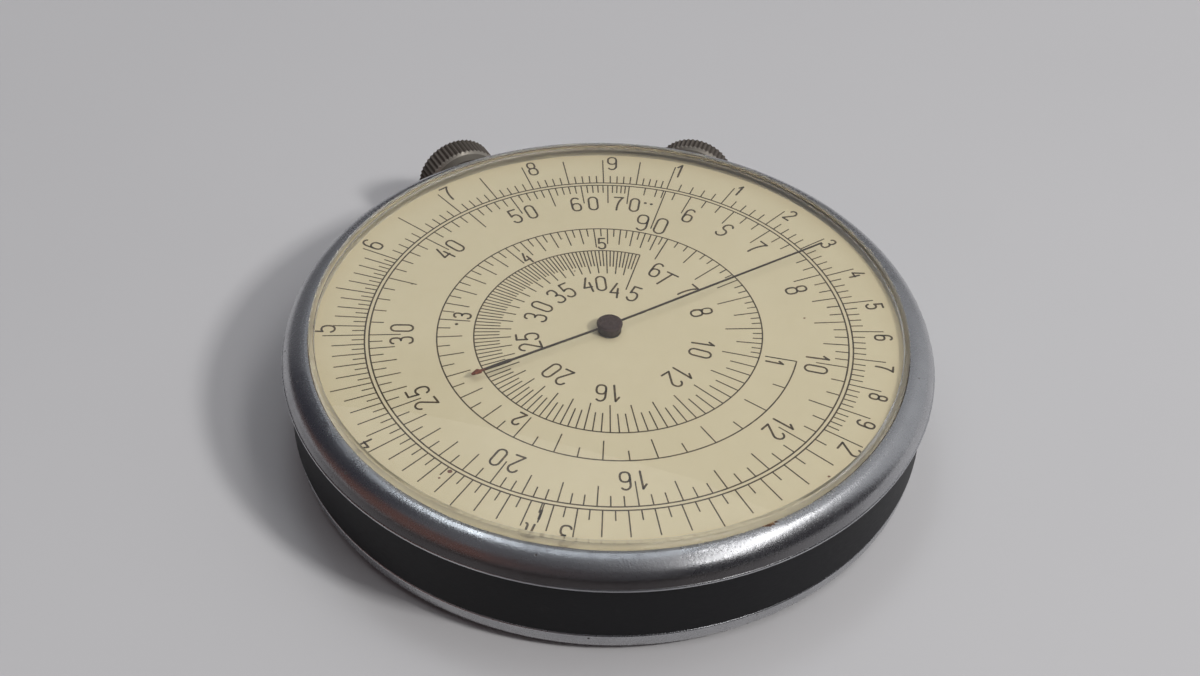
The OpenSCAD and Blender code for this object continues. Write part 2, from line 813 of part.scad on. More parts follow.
module fixed_index() {
    color("#8c1f1a")
        translate([0, 0, rear_end_z])
            linear_extrude(height = index_t)
                union() {
                    translate([-index_w / 2, seat_r - index_foot])
                        square([index_w, flange_r - seat_r + index_foot]);
                    polygon([
                        [-blade_w / 2, seat_r - index_foot / 2], [-blade_tip_w / 2, index_reach],
                        [blade_tip_w / 2, index_reach], [blade_w / 2, seat_r - index_foot / 2]
                    ]);
                }
}

// Sub-parts that turn with the hands

module arbor() {
    color("#9aa0a8") translate([0, 0, arbor_rear]) cylinder(r = arbor_r, h = arbor_front - arbor_rear);
}

module hand_wheel() {
    hub_from = bridge_top + stem_gap;
    window_at = (wheel_hub_r + hand_pitch - rim_w / 2) / 2;
    color("#d1ad57")
        difference() {
            union() {
                tube(hand_pitch + rim_w / 2, arbor_r, hand_root_z, wheel_t);
                tube(wheel_hub_r, arbor_r, hub_from, hand_root_z + wheel_t - hub_from);
                rotate([0, 0, hand_stem_az])
                    translate([0, 0, hand_root_z])
                        mirror([0, 0, 1]) crown_teeth(hand_teeth, hand_pitch);
            }
            for (i = [0 : 4])
                rotate([0, 0, i * 72])
                    translate([window_at, 0, hand_root_z - eps])
                        cylinder(r = hand_window_r, h = wheel_t + 2 * eps);
        }
}

module front_hand() {
    color("#2a211c")
        rotate([0, 0, 90 - hand_turn])
            translate([0, 0, front_hand_z + hand_t]) mirror([0, 0, 1]) hand(front_collet_t);
}

module front_hand_boss() {
    color("#3b2a24")
        translate([0, 0, front_hand_z + hand_t + boss_t]) mirror([0, 0, 1]) boss();
}

module rear_hand() {
    color("#2a211c")
        rotate([0, 0, 90 - rear_hand_turn]) translate([0, 0, rear_hand_z]) hand(collet_t);
}

module rear_hand_boss() {
    color("#3b2a24") translate([0, 0, rear_hand_z - boss_t]) boss();
}

// Sub-parts that turn with the moving dial

module moving_dial() {
    color("#c1b596") tube(seat_r - turn_gap, hub_r, moving_z, dial_t);
}

module dial_wheel() {
    rim_h = dial_root_z - moving_top;
    window_at = (hub_r + hub_flange + dial_pitch - rim_w / 2) / 2;
    color("#d1ad57")
        difference() {
            union() {
                tube(dial_pitch + rim_w / 2, dial_pitch - rim_w / 2, moving_top, rim_h);
                tube(dial_pitch, hub_r, moving_top, web_t);
                rotate([0, 0, dial_stem_az])
                    translate([0, 0, dial_root_z]) crown_teeth(dial_teeth, dial_pitch);
            }
            for (i = [0 : 5])
                rotate([0, 0, i * 60])
                    translate([window_at, 0, moving_top - eps])
                        cylinder(r = dial_window_r, h = web_t + 2 * eps);
        }
}

module dial_hub() {
    color("#c9c2a8")
        difference() {
            union() {
                translate([0, 0, hub_z]) cylinder(r = hub_r, h = hub_top - hub_z);
                translate([0, 0, hub_z]) cylinder(r = hub_r + hub_clench, h = hub_clench_t);
                translate([0, 0, moving_top + web_t]) cylinder(r = hub_r + hub_flange, h = hub_flange_t);
            }
            translate([0, 0, hub_z - eps]) cylinder(r = hub_bore, h = hub_top - hub_z + 2 * eps);
        }
}

// Sub-parts that turn with the two knobs

module hand_stem() {
    color("#9aa0a8") stem(hand_stem_az, hand_pitch, hand_knob_at + hand_knob_len);
}

module hand_pinion() {
    color("#a7adb5") pinion(hand_stem_az, hand_pitch);
}

module hand_knob() {
    color("#6b6660") knob(hand_stem_az, hand_knob_at, hand_knob_len);
}

module hand_knob_dot() {
    color("#a3201c") knob_dot(hand_stem_az, hand_knob_at + hand_knob_len);
}

module dial_stem() {
    color("#9aa0a8") stem(dial_stem_az, dial_pitch, dial_knob_at + dial_knob_len);
}

module dial_pinion() {
    color("#a7adb5") pinion(dial_stem_az, dial_pitch);
}

module dial_knob() {
    color("#6b6660") knob(dial_stem_az, dial_knob_at, dial_knob_len);
}

module dial_knob_dot() {
    color("#141414") knob_dot(dial_stem_az, dial_knob_at + dial_knob_len);
}

case_ring();
front_bezel();
rear_bezel();
front_crystal();
rear_crystal();
front_gasket();
rear_gasket();
fixed_dial();
main_plate();
plate_screws();
bridge();
bridge_pillars();
bridge_screws();
plate_bush();
dial_bush();
dial_collar();
dial_spring_washer();
hand_stem_bush();
dial_stem_bush();
hand_stem_bracket();
dial_stem_bracket();
bracket_screws();
fixed_index();
arbor();
hand_wheel();
front_hand();
front_hand_boss();
rear_hand();
rear_hand_boss();
moving_dial();
dial_wheel();
dial_hub();
hand_stem();
hand_pinion();
hand_knob();
hand_knob_dot();
dial_stem();
dial_pinion();
dial_knob();
dial_knob_dot();
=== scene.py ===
# %% [markdown]
# # A two-sided circular slide rule
# The object is a pocket calculator in a watch case: a black ring between two chromed bezels, a clear
# crystal on each face, printed dials under the crystals and two knurled knobs on the rim.
# The solids come from CAD and stay where they are. This file gives each one its finish, and adds what
# CAD leaves out: the printed scales, the numerals and the marks of age.

# %% Load the CAD frame
import json
import math

import bmesh
import bpy
import numpy as np
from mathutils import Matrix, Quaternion, Vector


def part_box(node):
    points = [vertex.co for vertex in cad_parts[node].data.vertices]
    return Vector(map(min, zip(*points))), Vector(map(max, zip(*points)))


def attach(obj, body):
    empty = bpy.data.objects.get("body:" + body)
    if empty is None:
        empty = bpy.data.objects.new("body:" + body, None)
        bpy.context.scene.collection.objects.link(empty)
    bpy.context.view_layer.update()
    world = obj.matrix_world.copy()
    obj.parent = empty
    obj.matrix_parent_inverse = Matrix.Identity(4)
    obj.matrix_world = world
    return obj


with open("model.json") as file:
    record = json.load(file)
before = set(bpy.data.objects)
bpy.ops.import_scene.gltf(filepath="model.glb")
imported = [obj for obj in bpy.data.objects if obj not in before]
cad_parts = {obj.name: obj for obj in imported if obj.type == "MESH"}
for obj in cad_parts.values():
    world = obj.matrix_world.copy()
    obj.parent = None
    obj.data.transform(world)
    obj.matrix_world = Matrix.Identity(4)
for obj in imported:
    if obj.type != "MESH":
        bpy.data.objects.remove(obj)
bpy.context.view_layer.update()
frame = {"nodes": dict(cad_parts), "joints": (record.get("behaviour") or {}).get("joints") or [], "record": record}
nodes = frame["nodes"]
MM = 0.001  # one millimetre in Blender's metres


# %% [markdown]
# ## Measures taken from the solids
# Prints lie on the two dials and wear follows edges, so their places are read from the solids' boxes.
# If the CAD model changes, the print moves with it.

# %% Read the measures
def reach(node):
    """Largest x of a node, in millimetres: the radius of a round piece on the case axis."""
    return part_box(node)[1].x / MM


def height(node, top=True):
    """Highest or lowest z of a node, in millimetres."""
    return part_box(node)[1 if top else 0].z / MM


DIAL_TOP = height("fixed_dial")
REAR_DIAL_FACE = height("moving_dial", top=False)
DIAL_R = reach("fixed_dial")
BEZEL_TOP = height("front_bezel")
knob_joints = [j for j in frame["joints"] if abs(j["axis"][2]) < 0.5]
STEM_AXES = {j["child"]: Vector(j["axis"]) for j in knob_joints}
STEM_Z = knob_joints[0]["pos_m"][2] / MM
print(f"dial radius {DIAL_R:.2f} mm at z {DIAL_TOP:.2f} mm, rear dial face at {REAR_DIAL_FACE:.2f} mm")

# %% [markdown]
# ## The camera
# The photograph was taken from the front, about 42 degrees above the table. A slide rule helps to find
# the camera, because the angle of every tick of its scale is known. The place, the aim, the roll and the
# lens below were solved from those ticks, and the camera has no shift.

# %% Set up the camera
CAMERA_AT = Vector((-14.3, -109.34, 106.72)) * MM
CAMERA_AIM = Vector((-0.835, -0.79, 8.77)) * MM
CAMERA_ROLL = math.radians(2.02)
LENS_MM = 55.31
SENSOR_MM = 36.0


def add_object(name, data):
    """A new object of the scene that shows the data."""
    made = bpy.data.objects.new(name, data)
    bpy.context.scene.collection.objects.link(made)
    return made


camera = add_object("camera", bpy.data.cameras.new("camera"))
camera.data.lens = LENS_MM
camera.data.sensor_width = SENSOR_MM
camera.data.clip_start = MM
camera.data.clip_end = 20.0
camera.location = CAMERA_AT
camera.rotation_mode = "QUATERNION"
level = (CAMERA_AIM - CAMERA_AT).to_track_quat("-Z", "Y")
camera.rotation_quaternion = level @ Quaternion((0, 0, 1), CAMERA_ROLL)
bpy.context.scene.camera = camera
bpy.context.scene.view_settings.view_transform = "Standard"
print(f"camera {(CAMERA_AIM - CAMERA_AT).length / MM:.0f} mm from the dial")


# %% [markdown]
# ## Writing shaders as sums
# A finish is a small formula: "darker in the grooves, redder at the tip". Wiring such formulas by hand
# takes many nodes. This class wraps one socket, so that `1 - mask * 0.5` adds the Math nodes by itself.
# Its `node` method adds any other node.

# %% A socket that can be calculated with
class Wire:
    """One output of a shader node. Arithmetic on wires adds Math nodes to the same tree."""

    def __init__(self, tree, socket=None):
        self.tree, self.socket = tree, socket

    def node(self, kind, settings=(), values=(), out=0):
        """Adds a node: settings first, then its sockets' values or links. Returns one of its outputs."""
        made = self.tree.nodes.new("ShaderNode" + kind)
        for key, value in dict(settings).items():
            setattr(made, key, value)
        for key, value in dict(values).items():
            if isinstance(value, Wire):
                self.tree.links.new(value.socket, made.inputs[key])
            else:
                made.inputs[key].default_value = value
        return Wire(self.tree, made.outputs[out])

    def maths(self, operation, a, b=0.0):
        return self.node("Math", {"operation": operation}, {0: a, 1: b})

    def __add__(self, other):
        return self.maths("ADD", self, other)

    __radd__ = __add__

    def __sub__(self, other):
        return self.maths("SUBTRACT", self, other)

    def __rsub__(self, other):
        return self.maths("SUBTRACT", other, self)

    def __mul__(self, other):
        return self.maths("MULTIPLY", self, other)

    def __pow__(self, power):
        return self.maths("POWER", self, power)

    def larger(self, other):
        return self.maths("MAXIMUM", self, other)

    def ramp(self, low, high):
        """0 below low, 1 above high and a smooth step between; turned round if low is above high."""
        values = {"Value": self, 1: min(low, high), 2: max(low, high), 3: 0.0, 4: 1.0}
        step = self.node("MapRange", {"interpolation_type": "SMOOTHSTEP"}, values)
        return step if low < high else 1 - step

    def blend(self, a, b):
        """The colour a where this wire is 0 and the colour b where it is 1."""
        colours = {6 + i: c if isinstance(c, Wire) else (*c, 1.0) for i, c in enumerate((a, b))}
        return self.node("Mix", {"data_type": "RGBA"}, {0: self, **colours}, out=2)


print("shader sums ready")

# %% [markdown]
# ## Starting a finish
# Every finish starts the same way: a Principled shader and the point's place on the object. Object
# coordinates are used, in millimetres, because they stay with the piece when it turns and when the
# model is exported. The plainest finishes are two colours mixed by a noise, made by `mottled`.


# %% Start a finish
class Finish:
    """A new material: its tree, its point in millimetres as a vector and as x, y, z, and patterns on it."""

    def __init__(self, name):
        self.material = bpy.data.materials.new(name)
        self.material.use_nodes = True
        self.tree = self.material.node_tree
        self.shader = self.tree.nodes["Principled BSDF"]
        start = Wire(self.tree)
        place = start.node("TexCoord", out="Object")
        self.point = start.node("VectorMath", {"operation": "SCALE"}, {0: place, "Scale": 1 / MM})
        self.x, self.y, self.z = (start.node("SeparateXYZ", (), {0: self.point}, out=i) for i in range(3))
        self.start = start

    def noise(self, size, detail=4.0, stretch=None):
        """Noise from 0 to 1 with features about size millimetres wide, drawn out along stretch's axes."""
        where = self.point
        if stretch is not None:
            where = self.start.node("VectorMath", {"operation": "MULTIPLY"}, {0: where, 1: stretch})
        return self.start.node("TexNoise", (), {"Vector": where, "Scale": 1 / size, "Detail": detail})

    def spots(self, size, feature="F1"):
        """Distance to the nearest of points scattered about size millimetres apart, 0 at a point."""
        values = {"Vector": self.point, "Scale": 1 / size}
        return self.start.node("TexVoronoi", {"feature": feature}, values, out="Distance")

    def cracks(self, size):
        """Distance to the edges of the cells round such points, 0 on an edge."""
        return self.spots(size, "DISTANCE_TO_EDGE")

    def radius(self):
        """Distance from the case axis in millimetres: the root of x squared plus y squared."""
        return (self.x * self.x + self.y * self.y) ** 0.5

    def near(self, spot):
        """Distance from a spot in millimetres."""
        return self.start.node("VectorMath", {"operation": "DISTANCE"}, {0: self.point, 1: spot}, out="Value")

    def bump(self, heights, depth):
        """Turns a height pattern into a bump of about depth millimetres. Returns the material."""
        values = {"Height": heights, "Strength": 1.0, "Distance": depth * MM}
        return self.set(Normal=self.start.node("Bump", (), values))

    def set(self, **values):
        """Gives the shader its values, wires or numbers or colours. Returns the material."""
        for key, value in values.items():
            socket = self.shader.inputs[key.replace("_", " ")]
            if isinstance(value, Wire):
                self.tree.links.new(value.socket, socket)
            elif isinstance(value, tuple):
                socket.default_value = (*value, 1.0)
            else:
                socket.default_value = value
        return self.material


def mottled(name, size, detail, colours, rough, mask=None, depth=None):
    """Two colours mixed by a noise, or by where it rises between mask's two values. The noise also adds up
    to rough[1] to the roughness rough[0], and it may be a bump of some depth."""
    f = Finish(name)
    tone = f.noise(size, detail)
    share = tone.ramp(*mask) if mask else tone
    f.set(Base_Color=share.blend(*colours), Roughness=rough[0] + tone * rough[1])
    if depth:
        f.bump(tone, depth)
    return f


print("finishes can be started")

# %% [markdown]
# ## The black case ring
# The ring is moulded in a black plastic with a dull shine. Handling has left fine scratches round it
# and a slightly greyer bloom, so colour and roughness vary a little and a shallow bump breaks the
# reflections. Dark plastic looks grey in soft light, so the written colour is close to black. Inside both
# ends, where the crystals sit, dried brown cement shows through the crystal's edge.

# %% Black moulded plastic
FLANGE_R = reach("front_crystal")


def black_plastic(name):
    f = Finish(name)
    bloom = f.noise(6.0)
    scratches = f.noise(0.5, 6.0, (1.0, 1.0, 9.0))
    edge = f.noise(1.2).ramp(0.62, 0.72)
    front_end = f.z.ramp(DIAL_TOP - 0.2, DIAL_TOP - 0.1)
    rear_end = f.z.ramp(REAR_DIAL_FACE + 0.2, REAR_DIAL_FACE + 0.1)
    cement = front_end.larger(rear_end) * f.radius().ramp(FLANGE_R + 0.1, FLANGE_R + 0.05)
    colour = bloom.blend((0.0035, 0.0035, 0.0048), (0.006, 0.006, 0.0078))
    worn = (edge * 0.2).blend(colour, (0.018, 0.018, 0.02))
    dried = f.noise(0.6).blend((0.28, 0.235, 0.175), (0.42, 0.36, 0.27))
    f.set(Base_Color=cement.blend(worn, dried), Roughness=0.4 + scratches * 0.22 + cement * 0.3)
    f.bump(scratches, 0.004)
    return f.set(Specular_IOR_Level=0.25)


FINISHES = {"case_black": black_plastic("case_black")}
print("case finish made")

# %% [markdown]
# ## Worn chrome
# The bezels are plated brass. Decades in a pocket have left a haze of fine scratches, dark pits where
# the plating has failed, dirt along the crystal and one rust-brown chip on the inner edge. Chrome shows
# its surroundings, so most of its look comes from the light. The finish roughens and stains it, and on
# the near lower slope it paints a dark reflection of the surroundings in front of the object.

# %% Chrome with pits, haze and a chip
CHIP_WAY = math.radians(-67.5)  # where the chip lies on the front bezel's inner edge
CHIP_HALF, CHIP_DEEP = 0.62, 0.24
WINDOW_R = 23.9  # radius of the bezel's inner edge
DULL_AT = (-4.5, -25.0, 8.6)  # the middle of the stretch where the plating has gone dull
DULL_R = 9.0
DARK_REFLECTION_WAY = math.radians(-107.0)  # the side on which a dark reflection is painted above the lower bead


def chipped(f):
    """1 on a jagged patch at the bezel's inner edge: an ellipse in distance along the rim and outwards."""
    ahead = f.x * math.cos(CHIP_WAY) + f.y * math.sin(CHIP_WAY)
    along = (f.y * math.cos(CHIP_WAY) - f.x * math.sin(CHIP_WAY)) * (1 / CHIP_HALF)
    outwards = (f.radius() - WINDOW_R - 0.04) * (1 / CHIP_DEEP)
    ragged = (along * along + outwards * outwards) ** 0.5 + (f.noise(0.22, 5.0) - 0.5) * 2.2
    return ragged.ramp(0.95, 0.8) * ahead.ramp(0.0, 1.0) * f.z.ramp(BEZEL_TOP - 0.5, BEZEL_TOP - 0.4)


def soiled(f):
    """Painted dark reflection: 1 on the front bezel's lower slope, from below the crown down to the bead, and
    fading along the rim.
    """
    ahead = f.x * math.cos(DARK_REFLECTION_WAY) + f.y * math.sin(DARK_REFLECTION_WAY)
    slope = f.z.ramp(BEZEL_TOP - 0.7, BEZEL_TOP - 1.15) * f.z.ramp(BEZEL_TOP - 1.8, BEZEL_TOP - 1.7)
    return slope * ahead.ramp(6.0, 25.0)


def worn_chrome(name):
    f = Finish(name)
    haze = f.noise(2.2, 5.0)
    grain = f.noise(0.17, 4.0)
    peel = f.noise(0.5, 3.0)
    dull = f.near(DULL_AT).ramp(DULL_R, DULL_R * 0.35) * (0.5 + peel * 0.7)
    pits = f.spots(1.1).ramp(0.12, 0.05) * f.noise(3.0).ramp(0.48, 0.6)
    fine_pits = f.spots(0.26).ramp(0.24, 0.08) * f.noise(4.5, 2.0).ramp(0.46, 0.64).larger(dull * 0.9)
    chip = chipped(f)
    stain = pits.larger(fine_pits * 0.5)
    plated = haze.blend((0.6, 0.605, 0.62), (0.47, 0.475, 0.495))
    dulled = (dull * 0.45).blend(plated, (0.13, 0.14, 0.165))
    # painted reflection: the lower slope is darkened as if it mirrored dark surroundings in front of the object
    dark_reflected = (soiled(f) * 0.92).blend(dulled, (0.06, 0.052, 0.052))
    pitted = stain.blend(dark_reflected, (0.09, 0.08, 0.075))
    rust = f.noise(0.22).ramp(0.4, 0.62).blend((0.075, 0.035, 0.018), (0.3, 0.19, 0.1))
    f.set(
        Base_Color=chip.blend(pitted, rust),
        Metallic=1 - (stain * 0.4).larger(chip),
        Roughness=0.14 + haze * 0.14 + grain * 0.12 + dull * 0.14 + stain * 0.3 + chip * 0.4,
    )
    return f.bump(grain * (0.5 + dull * 0.7) + peel * 0.45 - stain * 0.8 - chip * 1.5, 0.016)


FINISHES["bezel_chrome"] = worn_chrome("bezel_chrome")
print("chrome made")

# %% [markdown]
# ## Clear crystals
# Both crystals are clear moulded plastic. Real refraction matters here: it lifts the dial, bends the
# print near the rim and hides the outer ends of the near numerals. So the solid is true glass. Only the
# rays that carry light to the dial pass straight through, because a renderer would otherwise need a very
# long time to light it. The side wall and the crown above it are scuffed and foggy. If they were clear
# they would trap light and draw a dark line round the dial, so the fog lets half of it straight through.

# %% Clear crystal
ACRYLIC_IOR = 1.49
FLANGE_W = 1.05  # the flange that the bezel's lip covers
CRYSTAL_R = reach("rear_crystal") - FLANGE_W  # outside of the side wall
CRYSTAL_EDGE = BEZEL_TOP + 0.67  # where the dome starts
FOG_W, FOG_FADE = 0.36, 0.06  # how far in the fog reaches, and over what it fades
FOG_CLEAR = 0.5  # share of the light that the fog lets straight through


def clear_crystal(name):
    f = Finish(name)
    f.set(IOR=ACRYLIC_IOR, Transmission_Weight=1.0)
    inside = CRYSTAL_R - FOG_W
    crown = f.radius().ramp(inside, inside + FOG_FADE)
    wall = f.radius().ramp(inside - FOG_FADE, inside) * f.z.ramp(CRYSTAL_EDGE - 0.02, CRYSTAL_EDGE - 0.08)
    fog = crown.larger(wall)
    scuffed = f.noise(1.5, 4.0)
    f.set(
        Base_Color=fog.blend((0.985, 0.985, 0.97), (0.84, 0.82, 0.78)),
        Roughness=f.noise(0.8, 6.0).ramp(0.6, 0.8) * 0.04 + fog * (0.5 + scuffed * 0.2),
    )
    clear = f.start.node("BsdfTransparent", (), {"Color": (0.97, 0.97, 0.96, 1.0)})
    surface = Wire(f.tree, f.shader.outputs[0])
    surface = f.start.node("MixShader", (), {0: fog * FOG_CLEAR, 1: surface, 2: clear})
    for ray in ("Is Diffuse Ray", "Is Shadow Ray"):
        which = f.start.node("LightPath", out=ray)
        surface = f.start.node("MixShader", (), {0: which, 1: surface, 2: clear})
    f.tree.links.new(surface.socket, f.tree.nodes["Material Output"].inputs["Surface"])
    return f.material


FINISHES["crystal"] = clear_crystal("crystal")
print("crystals made")

# %% [markdown]
# ## Yellowed dials
# The dials are metal discs with cream paint. The paint has yellowed unevenly, more towards the rim,
# and has a few flecks of dirt. Large soft noise gives the tone, small spots give the flecks.


# %% Cream paint
def cream_paint(name):
    f = Finish(name)
    tone = f.noise(9.0, 3.0)
    mottle = f.noise(0.9, 5.0)
    rim = f.radius().ramp(DIAL_R - 3.0, DIAL_R)
    flecks = f.spots(3.1).ramp(0.035, 0.018) * f.noise(5.0).ramp(0.5, 0.6)
    aged = tone.blend((0.66, 0.585, 0.405), (0.6, 0.525, 0.35))
    mottled = (mottle * 0.35).blend(aged, (0.53, 0.455, 0.29))
    darker = (rim * 0.5).blend(mottled, (0.5, 0.41, 0.25))
    f.set(Base_Color=flecks.blend(darker, (0.12, 0.09, 0.06)), Roughness=0.5 + mottle * 0.2)
    return f.bump(mottle, 0.003)


FINISHES["dial_cream"] = cream_paint("dial_cream")
print("dial paint made")

# %% [markdown]
# ## Turned and plated metal
# Plates, wheels, bushes, screws and shafts are turned brass, steel and nickelled metal. One function
# gives them all: the metal's colour, a fine cut grain round the axis and a light tarnish.


# %% Turned metals
def turned_metal(name, bright, tarnished, roughness):
    f = Finish(name)
    tarnish = f.noise(2.5, 5.0).ramp(0.35, 0.75)
    rings = {"W": f.radius(), "Scale": 16.0, "Detail": 3.0}
    cut = f.start.node("TexNoise", {"noise_dimensions": "1D"}, rings)
    f.set(
        Base_Color=tarnish.blend(bright, tarnished),
        Metallic=1.0,
        Roughness=roughness + tarnish * 0.18 + cut * 0.12,
    )
    return f.bump(cut, 0.004)


for slot, *look in (
    ("plate_brass", (0.66, 0.48, 0.2), (0.46, 0.31, 0.12), 0.28),
    ("wheel_brass", (0.74, 0.55, 0.24), (0.55, 0.38, 0.15), 0.22),
    ("hub_nickel", (0.6, 0.57, 0.5), (0.4, 0.36, 0.3), 0.26),
    ("steel", (0.5, 0.51, 0.53), (0.3, 0.29, 0.28), 0.24),
):
    FINISHES[slot] = turned_metal(slot, *look)
print("turned metals made")

# %% [markdown]
# ## Hands, caps, dots and seals
# The hands are thin blackened needles; the tail's end has rusted to a red brown. The cap on the hub is
# dark brown lacquer that has crazed. Direction matters for the rust, so the needle's own line is read
# from the solid: the furthest corner from the axis is its tip.


# %% Lacquers
def points_of(node):
    """All vertices of a node, in metres."""
    mesh = nodes[node].data
    co = np.empty(len(mesh.vertices) * 3)
    mesh.vertices.foreach_get("co", co)
    return co.reshape(-1, 3)


def needle_direction(node):
    """Unit vector in the dial's plane from the axis to the vertex of the node that is furthest from it."""
    flat = points_of(node)[:, :2]
    tip = flat[np.argmax((flat**2).sum(1))]
    return tip / np.linalg.norm(tip)


def tail_end(node):
    """The middle of the tail's end: the mean of the vertices furthest from the axis against the tip."""
    flat = points_of(node)[:, :2]
    back = flat @ needle_direction(node)
    return flat[back < back.min() + 0.02 * MM].mean(0) / MM


def black_needle(name, node):
    f = Finish(name)
    ux, uy = needle_direction(node)
    along = f.x * float(ux) + f.y * float(uy)
    tail = float(np.linalg.norm(tail_end(node)))
    worn = f.noise(0.7, 5.0)
    rust = (along + (worn - 0.5) * 0.8).ramp(-tail + 1.1, -tail + 0.4)
    dark = worn.blend((0.02, 0.014, 0.011), (0.055, 0.039, 0.028))
    f.set(Base_Color=rust.blend(dark, (0.115, 0.036, 0.018)), Metallic=0.35, Roughness=0.42 + worn * 0.2)
    return f.bump(worn, 0.006)


def crazed_lacquer(name, colour, crack_colour, cell):
    f = Finish(name)
    crack = f.cracks(cell).ramp(0.07, 0.0)
    tone = f.noise(0.6, 5.0)
    base = tone.blend(colour, tuple(c * 1.9 for c in colour))
    f.set(Base_Color=(crack * 0.8).blend(base, crack_colour), Roughness=0.3 + tone * 0.25 + crack * 0.2)
    f.bump(tone * 0.8 - crack, 0.014)
    return f.set(Specular_IOR_Level=0.2)


FINISHES["hand_dark"] = black_needle("hand_dark", "front_hand")
rear_hand_dark = black_needle("rear_hand_dark", "rear_hand")
FINISHES["boss_brown"] = crazed_lacquer("boss_brown", (0.02, 0.011, 0.01), (0.1, 0.064, 0.056), 0.34)
for slot, *colours in (
    ("dot_red", (0.42, 0.02, 0.015), (0.2, 0.03, 0.025)),
    ("dot_black", (0.01, 0.01, 0.01), (0.035, 0.03, 0.028)),
    ("index_red", (0.36, 0.02, 0.015), (0.22, 0.03, 0.02)),
):
    enamel = mottled(slot, 0.8, 5.0, colours, (0.25, 0.25), mask=(0.5, 0.75), depth=0.006)
    FINISHES[slot] = enamel.set(Coat_Weight=0.4, Coat_Roughness=0.15)
DUST = ((0.27, 0.225, 0.165), (0.4, 0.345, 0.26))
FINISHES["gasket"] = mottled("gasket", 0.5, 5.0, DUST, (0.75, 0.2), depth=0.01).material
print("lacquers and seals made")

# %% [markdown]
# ## Knurled knobs
# The knobs are nickelled, with a straight knurl that dirt has filled. The knurl is in the solid. The
# finish needs each point's distance from the stem and its place along it, which follow from the stem's
# direction: dark and dull deep in the knurl, browner on the ridges, and lighter where the ridges run
# out towards the case. That lighter band is partly wear from fingers and partly a painted highlight
# of the ridge ends. The plain cone and the end face are in between.

# %% Dirty nickel with bright ridge ends
KNOB_R = height("dial_knob") - STEM_Z
GROOVE = 0.13


def knurl_start(node, axis):
    """Smallest distance along the stem, in millimetres, at which the knurl has its full height."""
    p = points_of(node) / MM
    along = p @ np.array(axis)
    out = np.hypot(p[:, 1] * axis.x - p[:, 0] * axis.y, p[:, 2] - STEM_Z)
    return float(along[out > KNOB_R - 0.01].min())


def knurled_nickel(name, node, axis):
    f = Finish(name)
    along = f.x * axis.x + f.y * axis.y - knurl_start(node, axis)
    across = f.y * axis.x - f.x * axis.y
    lift = f.z - STEM_Z
    out = (across * across + lift * lift) ** 0.5
    ridge = out.ramp(KNOB_R - GROOVE, KNOB_R - GROOVE * 0.2)
    wear = f.noise(1.1, 5.0)
    grime = f.noise(0.35, 4.0)
    # wear and painted highlight: the ridge ends towards the case are lighter all round the knob
    rubbed_glint = along.ramp(0.1, -0.06) * along.ramp(-0.38, -0.3) * (0.45 + wear * 0.8)
    plain = along.ramp(-0.32, -0.4).larger(out.ramp(KNOB_R - GROOVE - 0.02, KNOB_R - GROOVE - 0.12))
    dull = grime.blend((0.055, 0.045, 0.038), (0.1, 0.083, 0.07))
    drum = (ridge * (0.35 + wear * 0.5)).blend(dull, (0.2, 0.175, 0.15))
    coned = (plain * 0.9).blend(drum, (0.15, 0.137, 0.115))
    f.set(
        Base_Color=rubbed_glint.blend(coned, (0.42, 0.385, 0.335)),
        Metallic=0.55 + rubbed_glint * 0.3,
        Roughness=0.55 - rubbed_glint * 0.2 + grime * 0.12,
    )
    return f.bump(grime, 0.012)


knob_finish = {n: knurled_nickel("nickel_" + n, n, STEM_AXES[n]) for n in ("hand_knob", "dial_knob")}
FINISHES["knob_nickel"] = knob_finish["dial_knob"]
print(f"knobs of radius {KNOB_R:.2f} mm, stems at z {STEM_Z:.2f} mm")

# %% [markdown]
# ## Dressing the solids
# The record says which slot each solid belongs to. Every solid gets its slot's finish, and the rear
# hand and the two knobs get their own, because theirs follow their own line.

# %% Give each solid its finish
own_finish = {"rear_hand": rear_hand_dark, **knob_finish}
for row in frame["record"]["subparts"]:
    mesh = nodes[row["node"]].data
    mesh.materials.clear()
    mesh.materials.append(own_finish.get(row["node"], FINISHES[row["material_slot"]]))

# %% [markdown]
# ## Printing with ribbons
# Every printed mark, be it a tick, a ring, the spiral or a numeral, is a line with a width. So one
# function makes them all: it carries a flat four-cornered profile along paths in the dial's plane.
# A shader could draw ticks too, but thin solid ink keeps its sharp edge in any view and export.

# %% Ribbons of ink
INK_T = 0.006  # thickness of the ink film


class Face:
    """A dial to print on: its height, which way it looks, and how far its first tick is turned clockwise."""

    def __init__(self, z, up, turn):
        self.z, self.up, self.turn = z, up, turn

    def flat(self, angle, radius):
        """Point of the dial's plane at an angle in degrees clockwise from the first tick."""
        a = np.radians(np.asarray(angle, float) + self.turn)
        return np.stack([radius * np.sin(a), radius * np.cos(a)], -1)

    def solid(self, flat, lift):
        """Points in space: the plane's x is mirrored on a face that looks down, so print reads there too."""
        return np.stack([self.up * flat[..., 0], flat[..., 1], self.z + self.up * lift], -1)


def skin(grid, closed):
    """Vertices and quads of tubes from a grid of shape (count, points, corners, 3). Open ones get caps."""
    index = np.arange(grid[..., 0].size).reshape(grid.shape[:3])
    ahead = np.roll(index, -1, 1)
    here, ahead = (index, ahead) if closed else (index[:, :-1], ahead[:, :-1])
    quads = np.stack([here, ahead, np.roll(ahead, -1, 2), np.roll(here, -1, 2)], -1).reshape(-1, 4)
    if not closed:
        quads = np.concatenate([quads, index[:, 0], index[:, -1, ::-1]])
    return grid.reshape(-1, 3), quads


